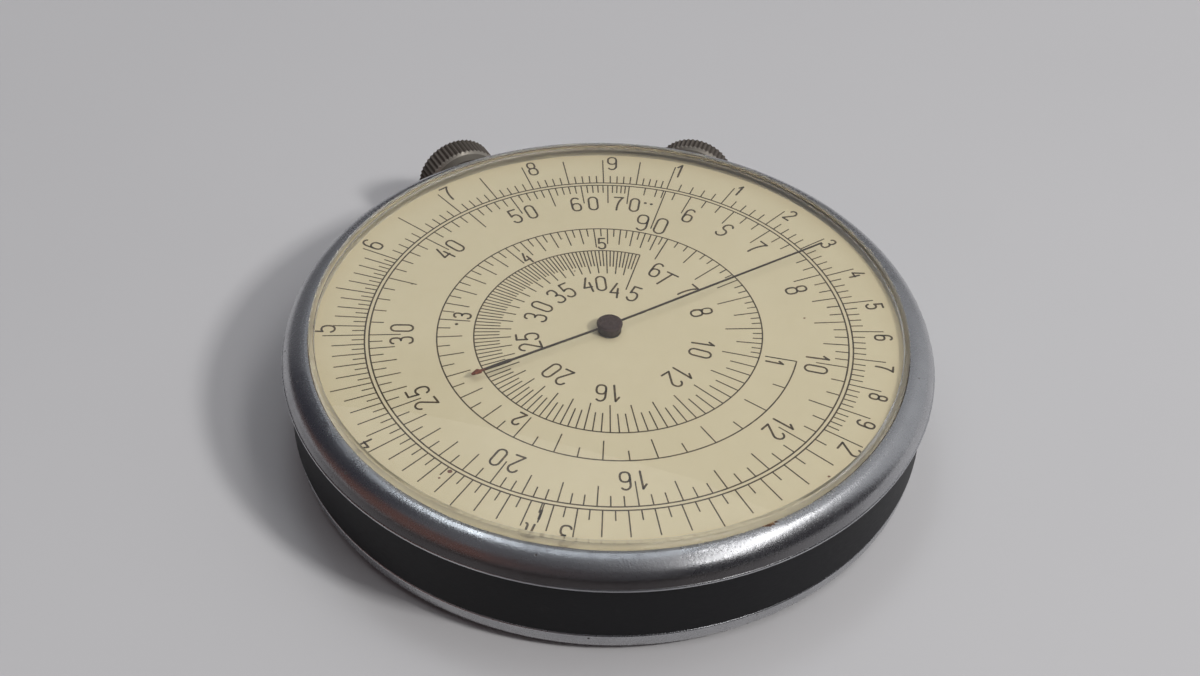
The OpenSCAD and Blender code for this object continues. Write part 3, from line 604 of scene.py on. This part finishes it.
def ribbons(face, paths, half, closed=False):
    """Vertices and quads of ribbons along paths of shape (count, points, 2), with half widths to match.
    At each point the sideways vector is the path's direction turned by 90 degrees, and the four corners
    are the point plus and minus half that vector, on the dial and an ink film above it."""
    half = np.broadcast_to(np.asarray(half, float), paths.shape[:2])[..., None]
    if closed:
        step = np.roll(paths, -1, 1) - np.roll(paths, 1, 1)
    else:
        step = np.gradient(paths, axis=1)
    step /= np.linalg.norm(step, axis=-1, keepdims=True)
    side = np.stack([-step[..., 1], step[..., 0]], -1) * half
    low, high = np.zeros(paths.shape[:2]), np.full(paths.shape[:2], INK_T)
    ring = [(paths - side, low), (paths - side, high), (paths + side, high), (paths + side, low)]
    return skin(np.stack([face.solid(flat, lift) for flat, lift in ring], 2), closed)


def ink_piece(name, body, parts, finish, weld=False):
    """One piece, riding a body, from sets of vertices in millimetres and quads. Welding closes poles."""
    starts = np.cumsum([0] + [len(v) for v, _ in parts[:-1]])
    verts = np.concatenate([v for v, _ in parts]) * MM
    quads = np.concatenate([q + s for (_, q), s in zip(parts, starts)])
    mesh = bpy.data.meshes.new(name)
    mesh.from_pydata(verts.tolist(), [], quads.tolist())
    if weld:
        loose = bmesh.new()
        loose.from_mesh(mesh)
        bmesh.ops.remove_doubles(loose, verts=loose.verts, dist=1e-4 * MM)
        loose.to_mesh(mesh)
        loose.free()
    mesh.materials.append(finish)
    piece = add_object(name, mesh)
    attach(piece, body)
    print(f"  {name}: {len(quads)} faces on {body}")


# %% [markdown]
# ## The ink
# Printed ink is thin and a little uneven: it is near black where it lies thick and browner where it
# has worn. A fine noise mixes the two.


# %% Printing ink
def printing_ink(name):
    f = Finish(name)
    wear = f.noise(0.5, 4.0).ramp(0.4, 0.75)
    colour = wear.blend((0.03, 0.017, 0.006), (0.1, 0.064, 0.03))
    return f.set(Base_Color=colour, Roughness=0.6 + wear * 0.2)


INK = printing_ink("printing_ink")
print("ink mixed")

# %% [markdown]
# ## Graduating the scales
# A slide rule's scale puts a number at an angle that grows with its logarithm, so that adding angles
# multiplies numbers. The outer scale runs from 1 to 10 in one turn. Inside it is a sine scale, and
# further in a tangent scale on a spiral of almost two turns. Each tick is worked out from its number.

# %% Where each number lies
UNIT = 19.45  # radius of the main scale's circle, in millimetres
FIRST_TICK = 20.9  # the front scale's 1, degrees clockwise from the line between the knobs
FRONT = Face(DIAL_TOP, 1.0, FIRST_TICK)
REAR = Face(REAR_DIAL_FACE, -1.0, 0.0)
TURN = 360.0
DEGREE = 60  # minutes of arc


def steps(first, last, step):
    """All values from first to last in equal steps, both ends included."""
    return first + step * np.arange(int(round((last - first) / step)) + 1)


def main_angle(value):
    """A full turn from 1 to 10: 360 degrees times the logarithm."""
    return TURN * np.log10(value)


def sine_angle(minutes):
    """A full turn for sines from 0.1 to 1; the angle is given in minutes of arc."""
    return TURN * np.log10(10 * np.sin(np.radians(np.asarray(minutes, float) / DEGREE)))


def tangent_angle(minutes):
    """Two turns for tangents from 0.01 to 1; the angle is given in minutes of arc."""
    return TURN * np.log10(100 * np.tan(np.radians(np.asarray(minutes, float) / DEGREE)))


TANGENT_START = float(tangent_angle(1 * DEGREE))
TANGENT_END = float(tangent_angle(45 * DEGREE))
SPIRAL_R = 0.7754
SPIRAL_FALL = 0.000419  # how much the spiral closes in per degree, in units


def spiral_radius(angle):
    """The spiral closes in evenly with the angle turned."""
    return SPIRAL_R - SPIRAL_FALL * (np.asarray(angle) - TANGENT_START)


print(f"tangent scale runs from {TANGENT_START:.1f} to {TANGENT_END:.1f} degrees")

# %% [markdown]
# ## Ticks
# Ticks come in three lengths, and which one a number gets depends on how round it is. A band of the scale
# is therefore a range, a step, a coarser step and a list of the roundest numbers. The whole set of ticks
# is one array: an angle, a start radius and an end radius for each.

# %% Ticks of the three front scales
TICK_W = 0.11
MAIN_ENDS = (1.052, 1.133, 1.171)  # outer ends of short, medium and long ticks
SINE_R = 0.982
SINE_LENS = (0.055, 0.104, 0.129)


def lengths(values, medium, long, choice):
    """The length of each tick: short, medium at whole multiples of a step, or long at the listed values."""
    multiple = np.abs(values / medium - np.round(values / medium)) < 1e-6
    picked = np.where(multiple, choice[1], choice[0])
    return np.where(np.isin(np.round(values, 6), np.round(long, 6)), choice[2], picked)


def graduate(bands, angle_of, choice):
    """Angles and lengths of ticks. A band is its first and last value, its step, the step of its medium
    ticks and the values of its long ones."""
    values = [steps(*band[:3]) for band in bands]
    sizes = [lengths(v, band[3], band[4], choice) for v, band in zip(values, bands)]
    return angle_of(np.concatenate(values)), np.concatenate(sizes)


def tick_ribbons(face, angle, inner, outer, width=TICK_W, unit=UNIT):
    """Straight radial ribbons from the inner to the outer radius at each angle."""
    inner, outer = np.broadcast_to(inner, angle.shape), np.broadcast_to(outer, angle.shape)
    ends = np.stack([face.flat(angle, inner * unit), face.flat(angle, outer * unit)], 1)
    return ribbons(face, ends, width / 2)


def main_ticks(face, r0, ends, unit=UNIT):
    """Bands 1 to 2 by 0.02, 2 to 6 by 0.05 and 6 to 10 by 0.1."""
    whole = np.arange(1.0, 11.0)
    halves = np.arange(2.0, 10.0, 0.5)
    bands = ((1.0, 2.0, 0.02, 0.1, whole), (2.05, 6.0, 0.05, 0.1, halves), (6.1, 9.9, 0.1, 0.5, halves))
    angle, end = graduate(bands, main_angle, ends)
    return tick_ribbons(face, angle, r0, end, unit=unit)


def sine_ticks(face):
    """Bands in minutes of arc, each closer to 90 degrees and coarser than the one before."""
    bands = (
        (350, 600, 10, 30, np.arange(6, 11) * DEGREE),
        (620, 1200, 20, 60, np.array([12, 16, 20]) * DEGREE),
        (1230, 1800, 30, 60, np.array([25, 30]) * DEGREE),
        (1860, 4200, 60, 7200, np.arange(35, 75, 5) * DEGREE),
        (4500, 5100, 300, 7200, np.array([])),
    )
    angle, length = graduate(bands, sine_angle, SINE_LENS)
    return tick_ribbons(face, angle, SINE_R - length, SINE_R)


def tangent_ticks(face):
    """Three bands that hang inwards from the spiral, each with lengths of its own."""
    bands = (
        (60, 360, 5, 10, np.arange(1, 6) * DEGREE, (0.053, 0.104, 0.129)),
        (360, 600, 10, 30, np.arange(6, 11) * DEGREE, (0.04, 0.105, 0.152)),
        (620, 2680, 20, 20, np.arange(11, 45) * DEGREE, (0.105, 0.105, 0.152)),
    )
    made = [graduate([band], tangent_angle, band[5]) for band in bands]
    angle, length = np.concatenate(made, 1)
    start = spiral_radius(angle)
    return tick_ribbons(face, angle, start - length, start)


SINE_END_R = 0.70
TANGENT_END_R = 0.27
TANGENT_FIRST_R = 0.652
PI_TICK = (1.0, 1.10)


def lone_ticks(face):
    """The longer ticks at 90 degrees of sine, at both ends of the spiral, and the tick of pi."""
    angle = np.array([0.0, TANGENT_START, TANGENT_END, float(main_angle(math.pi))])
    inner = np.array([SINE_END_R, TANGENT_FIRST_R, TANGENT_END_R, PI_TICK[0]])
    outer = np.array([SINE_R, SPIRAL_R, float(spiral_radius(TANGENT_END)), PI_TICK[1]])
    return tick_ribbons(face, angle, inner, outer)


# %% [markdown]
# ## Rings and spiral
# Two fine circles part the main scale from the sine scale, and the spiral carries the tangent scale.
# Both are ribbons along a formula: a constant radius, or one that falls with the angle.

# %% Circles, spiral and the ticks as pieces
RING_W = 0.13
SPIRAL_W = 0.12
RING_POINTS = 720


def circle(face, radius, width=RING_W, unit=UNIT):
    angle = np.linspace(0, TURN, RING_POINTS, endpoint=False)
    return ribbons(face, face.flat(angle, radius * unit)[None], width / 2, closed=True)


def spiral(face):
    angle = np.linspace(TANGENT_START, TANGENT_END, RING_POINTS)
    return ribbons(face, face.flat(angle, spiral_radius(angle) * UNIT)[None], SPIRAL_W / 2)


ink_piece("front_rings", "case", [circle(FRONT, 1.0), circle(FRONT, SINE_R), spiral(FRONT)], INK)
front_ticks = [main_ticks(FRONT, 1.0, MAIN_ENDS), sine_ticks(FRONT), tangent_ticks(FRONT), lone_ticks(FRONT)]
ink_piece("front_ticks", "case", front_ticks, INK)

# %% [markdown]
# ## Drawing numerals
# The numerals are of the plain drawing-office kind: one even stroke with round ends. Each is a few
# arcs and straight lines in a box one unit high. Strokes stop at sharp corners and start again there,
# because a ribbon gets thin where its path turns sharply.

# %% Strokes of each character
STROKE_POINTS = 26
DIGIT_W = 0.42  # width of a numeral's box for a height of 1
SQUARE = 0.78  # a power below 1 makes an ellipse squarer


def line(*points):
    """A straight run through points."""
    return np.array(points, float)


def arc(cx, cy, rx, ry, first, last, power=1.0):
    """Part of an ellipse, from one angle to another in degrees anticlockwise from the right. Raising
    sine and cosine to a power below 1 keeps its width and height but flattens its sides."""
    a = np.radians(np.linspace(first, last, STROKE_POINTS))
    x, y = (np.sign(w) * np.abs(w) ** power for w in (np.cos(a), np.sin(a)))
    return np.stack([cx + rx * x, cy + ry * y], -1)


def stroke(*runs):
    """Joins runs into one path and spaces its points evenly along its length."""
    path = np.concatenate(runs)
    far = np.concatenate([[0], np.cumsum(np.linalg.norm(np.diff(path, axis=0), axis=1))])
    keep = np.concatenate([[True], np.diff(far) > 1e-9])
    at = np.linspace(0, far[-1], STROKE_POINTS)
    return np.stack([np.interp(at, far[keep], path[keep, k]) for k in (0, 1)], -1)


MID = DIGIT_W / 2
SIX = (
    stroke(arc(MID, 0.72, MID, 0.28, 42, 180), line((0, 0.28))),
    stroke(arc(MID, 0.28, MID, 0.28, 180, 540, SQUARE)),
)
GLYPHS = {
    "0": (
        stroke(arc(MID, 0.78, MID, 0.22, 0, 180), arc(MID, 0.22, MID, 0.22, 180, 360), line((DIGIT_W, 0.78))),
    ),
    "1": (stroke(line((0.04, 0.76), (MID, 1.0))), stroke(line((MID, 1.0), (MID, 0.0)))),
    "2": (
        stroke(arc(MID, 0.75, MID, 0.25, 165, -24), line((0.0, 0.0))),
        stroke(line((0.0, 0.0), (DIGIT_W, 0.0))),
    ),
    "3": (
        stroke(arc(0.2, 0.765, 0.185, 0.235, 160, -90, SQUARE)),
        stroke(arc(0.2, 0.265, 0.215, 0.265, 90, -160, SQUARE)),
    ),
    "4": (
        stroke(line((0.26, 1.0), (0.0, 0.33))),
        stroke(line((0.0, 0.33), (0.37, 0.33))),
        stroke(line((0.33, 0.64), (0.33, 0.0))),
    ),
    "5": (
        stroke(line((0.39, 1.0), (0.05, 1.0))),
        stroke(line((0.05, 1.0), (0.03, 0.53))),
        stroke(line((0.03, 0.53)), arc(0.2, 0.3, 0.22, 0.3, 128, -155, 0.88)),
    ),
    "6": SIX,
    "7": (stroke(line((0.0, 1.0), (DIGIT_W, 1.0))), stroke(arc(0.657, 0.0, 0.527, 1.12, 116.8, 180))),
    "8": (
        stroke(arc(MID, 0.765, 0.18, 0.235, -90, 270, SQUARE)),
        stroke(arc(MID, 0.265, MID, 0.265, 90, 450, SQUARE)),
    ),
    "9": tuple(np.array([DIGIT_W, 1.0]) - path for path in SIX),
    "S": (stroke(arc(0.24, 0.755, 0.2, 0.245, 25, 270), arc(0.24, 0.255, 0.22, 0.255, 90, -155)),),
    "T": (stroke(line((-0.06, 1.0), (DIGIT_W + 0.1, 1.0))), stroke(line((MID, 1.0), (MID, 0.0)))),
    "p": (
        stroke(line((-0.06, 0.6), (DIGIT_W + 0.06, 0.6))),
        stroke(line((0.1, 0.6), (0.06, 0.0))),
        stroke(line((0.33, 0.6), (0.33, 0.12)), arc(0.41, 0.12, 0.08, 0.12, 180, 270)),
    ),
}
print("drew", len(GLYPHS), "characters")

# %% [markdown]
# ## Setting numerals on a dial
# A numeral stands upright on its radius, its top outwards. It is scaled, moved to its middle and turned
# with the radius. Its strokes then get round ends: a few more points past each end, where the ribbon's
# half width follows a quarter circle.

# %% Place characters and round their ends
END_POINTS = 3
END_TURN = 84  # degrees: a full quarter circle would end in a point
LETTER_LEAN = {"S": 0.16, "T": 0.2}


def pen_strokes(face, paths, pen, end_points=END_POINTS):
    """Ribbons as wide as the pen along paths of one shape. At pen / 2 * sin(a) past either end, half the
    width is pen / 2 * cos(a)."""
    a = np.radians(np.linspace(0, END_TURN, end_points + 1)[1:])
    grow, shrink = np.sin(a) * pen / 2, np.cos(a) * pen / 2
    first, last = paths[:, 0] - paths[:, 1], paths[:, -1] - paths[:, -2]
    first /= np.linalg.norm(first, axis=-1, keepdims=True)
    last /= np.linalg.norm(last, axis=-1, keepdims=True)
    before = paths[:, :1] + first[:, None] * grow[::-1, None]
    after = paths[:, -1:] + last[:, None] * grow[:, None]
    half = np.concatenate([shrink[::-1], np.full(paths.shape[1], pen / 2), shrink])
    return ribbons(face, np.concatenate([before, paths, after], 1), half)


def set_type(face, letters, pen, unit=UNIT):
    """Strokes of letters, each a character, an angle, a middle radius and a height in units, as ribbons."""
    paths = []
    for character, angle, radius, tall in letters:
        a = math.radians(angle + face.turn)
        across, outward = np.array([math.cos(a), -math.sin(a)]), np.array([math.sin(a), math.cos(a)])
        for path in GLYPHS[character]:
            x = path[:, :1] - MID + LETTER_LEAN.get(character, 0.0) * (path[:, 1:] - 0.5)
            y = path[:, 1:] - 0.5
            paths.append((radius * outward + tall * (x * across + y * outward)) * unit)
    return pen_strokes(face, np.stack(paths), pen)


# %% [markdown]
# ## Numerals of the front dial
# Single numerals stand just clockwise of their tick. Two-figure numbers stand astride it, so each
# figure has its own angle. The lists follow the printed dial: the number, its radius, and how many
# degrees past the tick each of its figures stands.

# %% Numerals of the three front scales
PEN = 0.175
BIG, SMALL, LARGE = 0.091, 0.07, 0.108
MAIN_NUMERAL_R, TENTHS_R, NINETY_R = 1.147, 1.128, 0.732
AHEAD = {1: 1.35, 3: 1.5}  # degrees from the tick, where it isn't the usual 2.1
OUT = {2: -0.008, 3: -0.01, 4: 0.024, 5: 0.022}  # how much further out than the usual radius
FIGURES = range(1, 10)


def number_at(number, angle, radius, offsets, tall=BIG):
    """The letters of a number: each figure stands at an offset of its own from the tick's angle."""
    return [(c, angle + off, radius, tall) for c, off in zip(str(number), offsets)]


front_letters = [("p", main_angle(math.pi) + 1.05, 1.158, 0.09)]
for n in FIGURES:
    front_letters += number_at(n, main_angle(n), MAIN_NUMERAL_R + OUT.get(n, 0.0), [AHEAD.get(n, 2.1)])
    front_letters += number_at(n, main_angle(1 + n / 10), TENTHS_R, [1.5 if n == 1 else 1.9], SMALL)

for number, radius, *offsets in (
    (6, 0.85, 2.5), (7, 0.85, 2.85), (8, 0.84, 3.5), (10, 0.858, -1.8, 2.6), (12, 0.858, -1.7, 2.4),
    (16, 0.85, -1.7, 2.5), (20, 0.85, -2.5, 2.6), (25, 0.85, -2.5, 2.6), (30, 0.85, -2.5, 2.6),
    (40, 0.85, -2.2, 2.5), (50, 0.85, -2.5, 2.65), (60, 0.85, -2.5, 2.65), (70, 0.85, -2.5, 2.3),
):
    front_letters += number_at(number, sine_angle(number * DEGREE), radius, offsets)
front_letters += number_at(90, 0.0, NINETY_R, (-3.6, 3.0), LARGE)

for number, radius, *offsets in (
    (1, 0.69, 2.4), (2, 0.635, 3.3), (3, 0.612, 2.9), (4, 0.577, 3.0), (5, 0.566, 2.6), (6, 0.442, 4.2),
    (7, 0.42, 4.4), (8, 0.404, 3.4), (10, 0.389, -3.2, 5.3), (12, 0.382, -2.8, 5.5),
    (16, 0.373, -3.0, 5.5), (20, 0.339, -4.7, 6.1), (25, 0.339, -4.0, 6.0), (30, 0.314, -5.7, 7.6),
    (35, 0.305, -6.2, 5.5), (40, 0.3, -5.4, 5.7), (45, 0.256, -9.6, 8.8),
):
    tall = SMALL if number < 6 else BIG
    front_letters += number_at(number, tangent_angle(number * DEGREE), radius, offsets, tall)
front_letters += [("S", 21.5, 0.846, BIG), ("T", 20.0, 0.411, BIG)]
ink_piece("front_numerals", "case", [set_type(FRONT, front_letters, PEN)], INK)

# %% [markdown]
# ## Dots and ink marks
# A few small round dots mark special places: one before the 3 of the tangent scale and a pair before
# the end of the sine scale. A dot is a short stroke with round ends. The tick of pi has a thick middle.

# %% Dots
DOT_PEN = 0.24
DOT_HALF = 0.02  # half the length of a dot's stroke
DOT_END_POINTS = 5
DOTS = ((256.8, 0.629), (355.6, 0.873), (357.4, 0.871))
PI_MARK, PI_MARK_W = (1.035, 1.085), 0.2


def dots(face, places, pen):
    """Very short strokes: each place is an angle and a radius in units."""
    angle, radius = np.array(places, float).T
    middle = face.flat(angle, radius * UNIT)
    spread = np.linspace(-DOT_HALF, DOT_HALF, STROKE_POINTS)[:, None] * np.array([1.0, 0.0])
    return pen_strokes(face, middle[:, None] + spread, pen, DOT_END_POINTS)


pi_mark = tick_ribbons(FRONT, main_angle(np.array([math.pi])), *PI_MARK, PI_MARK_W)
ink_piece("front_marks", "case", [dots(FRONT, DOTS, DOT_PEN), pi_mark], INK)

# %% [markdown]
# ## Specks on the old dial
# Dirt has got under the crystal and left a few brown specks on the paint. They are dots too, in a brown
# of their own, and their places are given in millimetres from the middle of the dial.

# %% Specks
SPECKS = (  # x, y and size
    (-13.3, -14.6, 0.34), (-14.1, -15.2, 0.16), (-12.1, 1.7, 0.14), (15.9, 0.4, 0.15), (14.5, -17.2, 0.18),
)


def polar(x, y):
    """The angle from the first tick and the radius in units of a point in millimetres."""
    return math.degrees(math.atan2(x, y)) - FIRST_TICK, math.hypot(x, y) / UNIT


speck_parts = [dots(FRONT, [polar(x, y)], size) for x, y, size in SPECKS]
speck_brown = mottled("speck_brown", 0.1, 4.0, ((0.09, 0.03, 0.02), (0.2, 0.1, 0.06)), (0.7, 0.2)).material
ink_piece("dial_specks", "case", speck_parts, speck_brown)

# %% [markdown]
# ## Dirt round the crystal
# A ring fills the narrow gap between the crystal and the bezel: pale dust below and a dark top. The dark
# top draws the fine brown line round the dial. The piece is a ring: a small four-cornered section carried
# round the axis. Its top goes up and down with a sum of waves, so that the line is thicker in some places.

# %% The dirt ring
DIRT_FLOOR = height("front_gasket")
DIRT_GAP = 0.1  # between the crystal's side and the bezel
DIRT_CLEAR = 0.004
DIRT_H, DIRT_WAVE, DIRT_TILT = 0.33, 0.05, 0.03  # its height, its waves' size and its rise to the bezel
DIRT_POINTS = 960


def dirt_ring(points):
    """Grid of angle by section corner: radius and height of the corner, turned round the axis. The top is
    a constant plus waves of 5, 13, 29 and 61 periods."""
    turn = np.linspace(0, 2 * np.pi, points, endpoint=False)
    waves = sum(np.sin(n * turn + n) / (k + 2) for k, n in enumerate((5, 13, 29, 61)))
    top = DIRT_FLOOR + DIRT_H + DIRT_WAVE * waves
    inner, outer = CRYSTAL_R + DIRT_CLEAR, CRYSTAL_R + DIRT_GAP - DIRT_CLEAR
    low = np.full(points, DIRT_FLOOR)
    section = [(inner, low), (outer, low), (outer, top + DIRT_TILT), (inner, top)]
    grid = np.stack([np.stack([r * np.cos(turn), r * np.sin(turn), z], -1) for r, z in section], 1)
    return skin(grid[None], closed=True)


def old_dirt(name):
    f = Finish(name)
    tone = f.noise(0.5, 5.0)
    crest = f.z.ramp(DIRT_FLOOR + 0.2, DIRT_FLOOR + 0.3)
    pale = tone.blend(*DUST)
    dark = tone.blend((0.04, 0.029, 0.02), (0.12, 0.093, 0.064))
    f.set(Base_Color=crest.blend(pale, dark), Roughness=0.8 + tone * 0.15)
    return f.bump(tone, 0.02)


ink_piece("rim_dirt", "case", [dirt_ring(DIRT_POINTS)], old_dirt("old_dirt"))

# %% [markdown]
# ## Rust on the needle's tail
# The tail's tip has rusted into a small red-brown crust. It is a flattened ball on a grid of longitude
# and latitude, with waves on its radius. It rides the hands, so it turns with them.

# %% The rust crust
CRUST = (0.42, 0.24, 0.14)  # half sizes along the needle, across it and upwards
CRUST_IN, CRUST_DOWN = 0.1, 0.055  # its middle from the tail's end and from the needle's top
CRUST_ROWS, CRUST_COLUMNS = 14, 28


def crust(centre, along, rows, columns):
    """Ball with bumps: cos and sin of latitude and longitude times the half sizes, times 1 plus waves."""
    lat = np.linspace(-np.pi / 2, np.pi / 2, rows)[:, None]
    lon = np.linspace(0, 2 * np.pi, columns, endpoint=False)[None]
    bump = 1 + 0.16 * np.sin(3 * lon + 1) * np.cos(lat) + 0.1 * np.sin(7 * lon + 4 * lat) * np.cos(lat)
    ball = np.cos(lat) * np.cos(lon), np.cos(lat) * np.sin(lon), np.sin(lat) + 0 * lon
    a, b, c = (half * bump * way for half, way in zip(CRUST, ball))
    ux, uy = along
    grid = np.stack([centre[0] + a * ux - b * uy, centre[1] + a * uy + b * ux, centre[2] + c], -1)
    index = np.arange(rows * columns).reshape(rows, columns)
    ahead = np.roll(index, -1, 1)
    quads = np.stack([index[:-1], ahead[:-1], ahead[1:], index[1:]], -1).reshape(-1, 4)
    return grid.reshape(-1, 3), quads


end = tail_end("front_hand")
backwards = end / np.linalg.norm(end)
crust_at = (*(end - backwards * CRUST_IN), height("front_hand") - CRUST_DOWN)
tail_crust = crust(crust_at, backwards, CRUST_ROWS, CRUST_COLUMNS)
RUST = ((0.06, 0.016, 0.009), (0.2, 0.06, 0.03))
rust_crust = mottled("rust_crust", 0.12, 5.0, RUST, (0.8, 0.15), mask=(0.3, 0.7), depth=0.03).material
ink_piece("tail_rust", "hands", [tail_crust], rust_crust, weld=True)

# %% [markdown]
# ## The rear dial
# The other face lies on the table in the photograph. On such rules it carries the moving dial with a
# main scale inside and a scale of squares, two turns of the logarithm in one, outside. The print rides
# the moving dial, so it turns with its knob.

# %% Print of the moving dial
REAR_UNIT = 18.2
REAR_MAIN_R = 0.93
REAR_MAIN_ENDS = (0.88, 0.835, 0.8)
SQUARE_ENDS = (1.052, 1.085, 1.12)
REAR_NUMERAL_R, SQUARE_NUMERAL_R = 0.755, 1.165


def square_ticks(face):
    """Squares from 1 to 100: each decade takes half a turn."""
    whole = np.arange(1.0, 11.0)
    bands = ((1.0, 3.0, 0.05, 0.1, whole), (3.1, 6.0, 0.1, 0.5, whole), (6.2, 9.8, 0.2, 1.0, whole))
    angle, end = graduate(bands, main_angle, SQUARE_ENDS)
    both = np.concatenate([angle / 2, angle / 2 + TURN / 2])
    return tick_ribbons(face, both, 1.0, np.tile(end, 2), unit=REAR_UNIT)


rear_rings = [circle(REAR, r, unit=REAR_UNIT) for r in (1.0, REAR_MAIN_R)]
ink_piece("rear_rings", "rear_dial", rear_rings, INK)
rear_ticks = [main_ticks(REAR, REAR_MAIN_R, REAR_MAIN_ENDS, REAR_UNIT), square_ticks(REAR)]
ink_piece("rear_ticks", "rear_dial", rear_ticks, INK)

rear_letters = []
for n in FIGURES:
    rear_letters += number_at(n, main_angle(n), REAR_NUMERAL_R, [2.3])
    rear_letters += number_at(n, main_angle(n) / 2, SQUARE_NUMERAL_R, [2.0])
    rear_letters += number_at(10 * n, main_angle(n) / 2 + TURN / 2, SQUARE_NUMERAL_R, [1.7, 4.6])
ink_piece("rear_numerals", "rear_dial", [set_type(REAR, rear_letters, PEN, REAR_UNIT)], INK)

# %% [markdown]
# ## Floor and light
# The floor is plain and pale. A key lamp at the near right throws the shadow to the far left, and a
# ceiling of soft light fills it. Chrome would show them as white patches, so metal doesn't mirror either.
# Two smaller lamps give the metal its highlights: a long one overhead on the right and a short one behind.
# The surroundings are darker towards the camera, because chrome needs something dark to mirror or it looks
# like white paint.

# %% Floor
FLOOR_HALF = 1.5
PALE = ((0.52, 0.515, 0.525), (0.48, 0.475, 0.485))

corner = np.array([[-1, -1, 0], [1, -1, 0], [1, 1, 0], [-1, 1, 0]]) * FLOOR_HALF
floor_mesh = bpy.data.meshes.new("floor")
floor_mesh.from_pydata(corner.tolist(), [], [[0, 1, 2, 3]])
floor_mesh.materials.append(mottled("floor", 60.0, 3.0, PALE, (0.6, 0.1)).material)
floor = add_object("floor", floor_mesh)


# %% Lamps and surroundings
def soft_lamp(name, at, size, watts, colour, aim=(0.0, 0.0, 0.0), mirrored=True):
    """An area lamp, wide by tall, that looks at a point. Metal mirrors it or does not."""
    lamp = bpy.data.lights.new(name, "AREA")
    lamp.shape, lamp.energy, lamp.color = "RECTANGLE", watts, colour
    lamp.size, lamp.size_y = size
    made = add_object(name, lamp)
    made.location = at
    made.rotation_mode = "QUATERNION"
    made.rotation_quaternion = (Vector(aim) - Vector(at)).to_track_quat("-Z", "Y")
    made.visible_glossy = mirrored


WARM, WHITE, COOL, BLUE = (1.0, 0.99, 0.97), (1.0, 0.99, 0.98), (0.97, 0.98, 1.0), (0.88, 0.95, 1.0)
NEAR_FLOOR = (0.0, -0.235, 0.0)  # aimed at by the long lamp, which tilts its highlight along the bezel
soft_lamp("key", at=(0.444, -0.305, 0.522), size=(0.1, 0.1), watts=3.15, colour=WARM, mirrored=False)
soft_lamp("ceiling", at=(0.05, 0.1, 0.9), size=(1.1, 1.1), watts=2.5, colour=COOL, mirrored=False)
soft_lamp("long_lamp", at=(0.3, -0.2, 0.62), size=(0.74, 0.12), watts=1.1, colour=WHITE, aim=NEAR_FLOOR)
soft_lamp("short_lamp", at=(-0.035, 0.28, 0.66), size=(0.16, 0.17), watts=0.36, colour=BLUE)

world = bpy.data.worlds.new("surroundings")
bpy.context.scene.world = world
world.use_nodes = True
air = Wire(world.node_tree)
way = air.node("TexCoord", out="Generated")
way_x, way_y, way_z = (air.node("SeparateXYZ", (), {0: way}, out=i) for i in range(3))


def towards(x, y, z):
    """How far a ray points towards a direction: the sum of its parts times the direction's."""
    return way_x * x + way_y * y + way_z * z


# Each line lays one more patch over the room: its mask, what lies below and its own colour.
room = towards(0.0, 0.6, 0.8).ramp(0.7, 1.0).blend((0.035, 0.033, 0.038), (0.33, 0.335, 0.35))
lit = towards(0.5, 0.8, 0.33).ramp(0.46, 0.66) * way_x.ramp(0.15, 0.6)
lit_side = (lit * (1 - way_y.ramp(0.55, 0.85) * 0.5)).blend(room, (0.47, 0.475, 0.49))
warm_side = towards(-0.85, -0.3, 0.2).ramp(0.45, 0.85).blend(lit_side, (0.13, 0.07, 0.06))
back_left = (way_z.ramp(0.66, 0.71) * way_x.ramp(0.01, -0.05)).blend(warm_side, (0.13, 0.13, 0.14))
dark_side = towards(-0.65, 0.45, 0.61).ramp(0.82, 0.94).blend(back_left, (0.04, 0.04, 0.05))
far_left = way_y.ramp(0.64, 0.76) * way_x.ramp(-0.1, -0.3)
sky = far_left.blend(dark_side, (0.17, 0.17, 0.18))
background = world.node_tree.nodes["Background"]
world.node_tree.links.new(sky.socket, background.inputs["Color"])
background.inputs["Strength"].default_value = 1.0
print("floor, lamps and surroundings set")
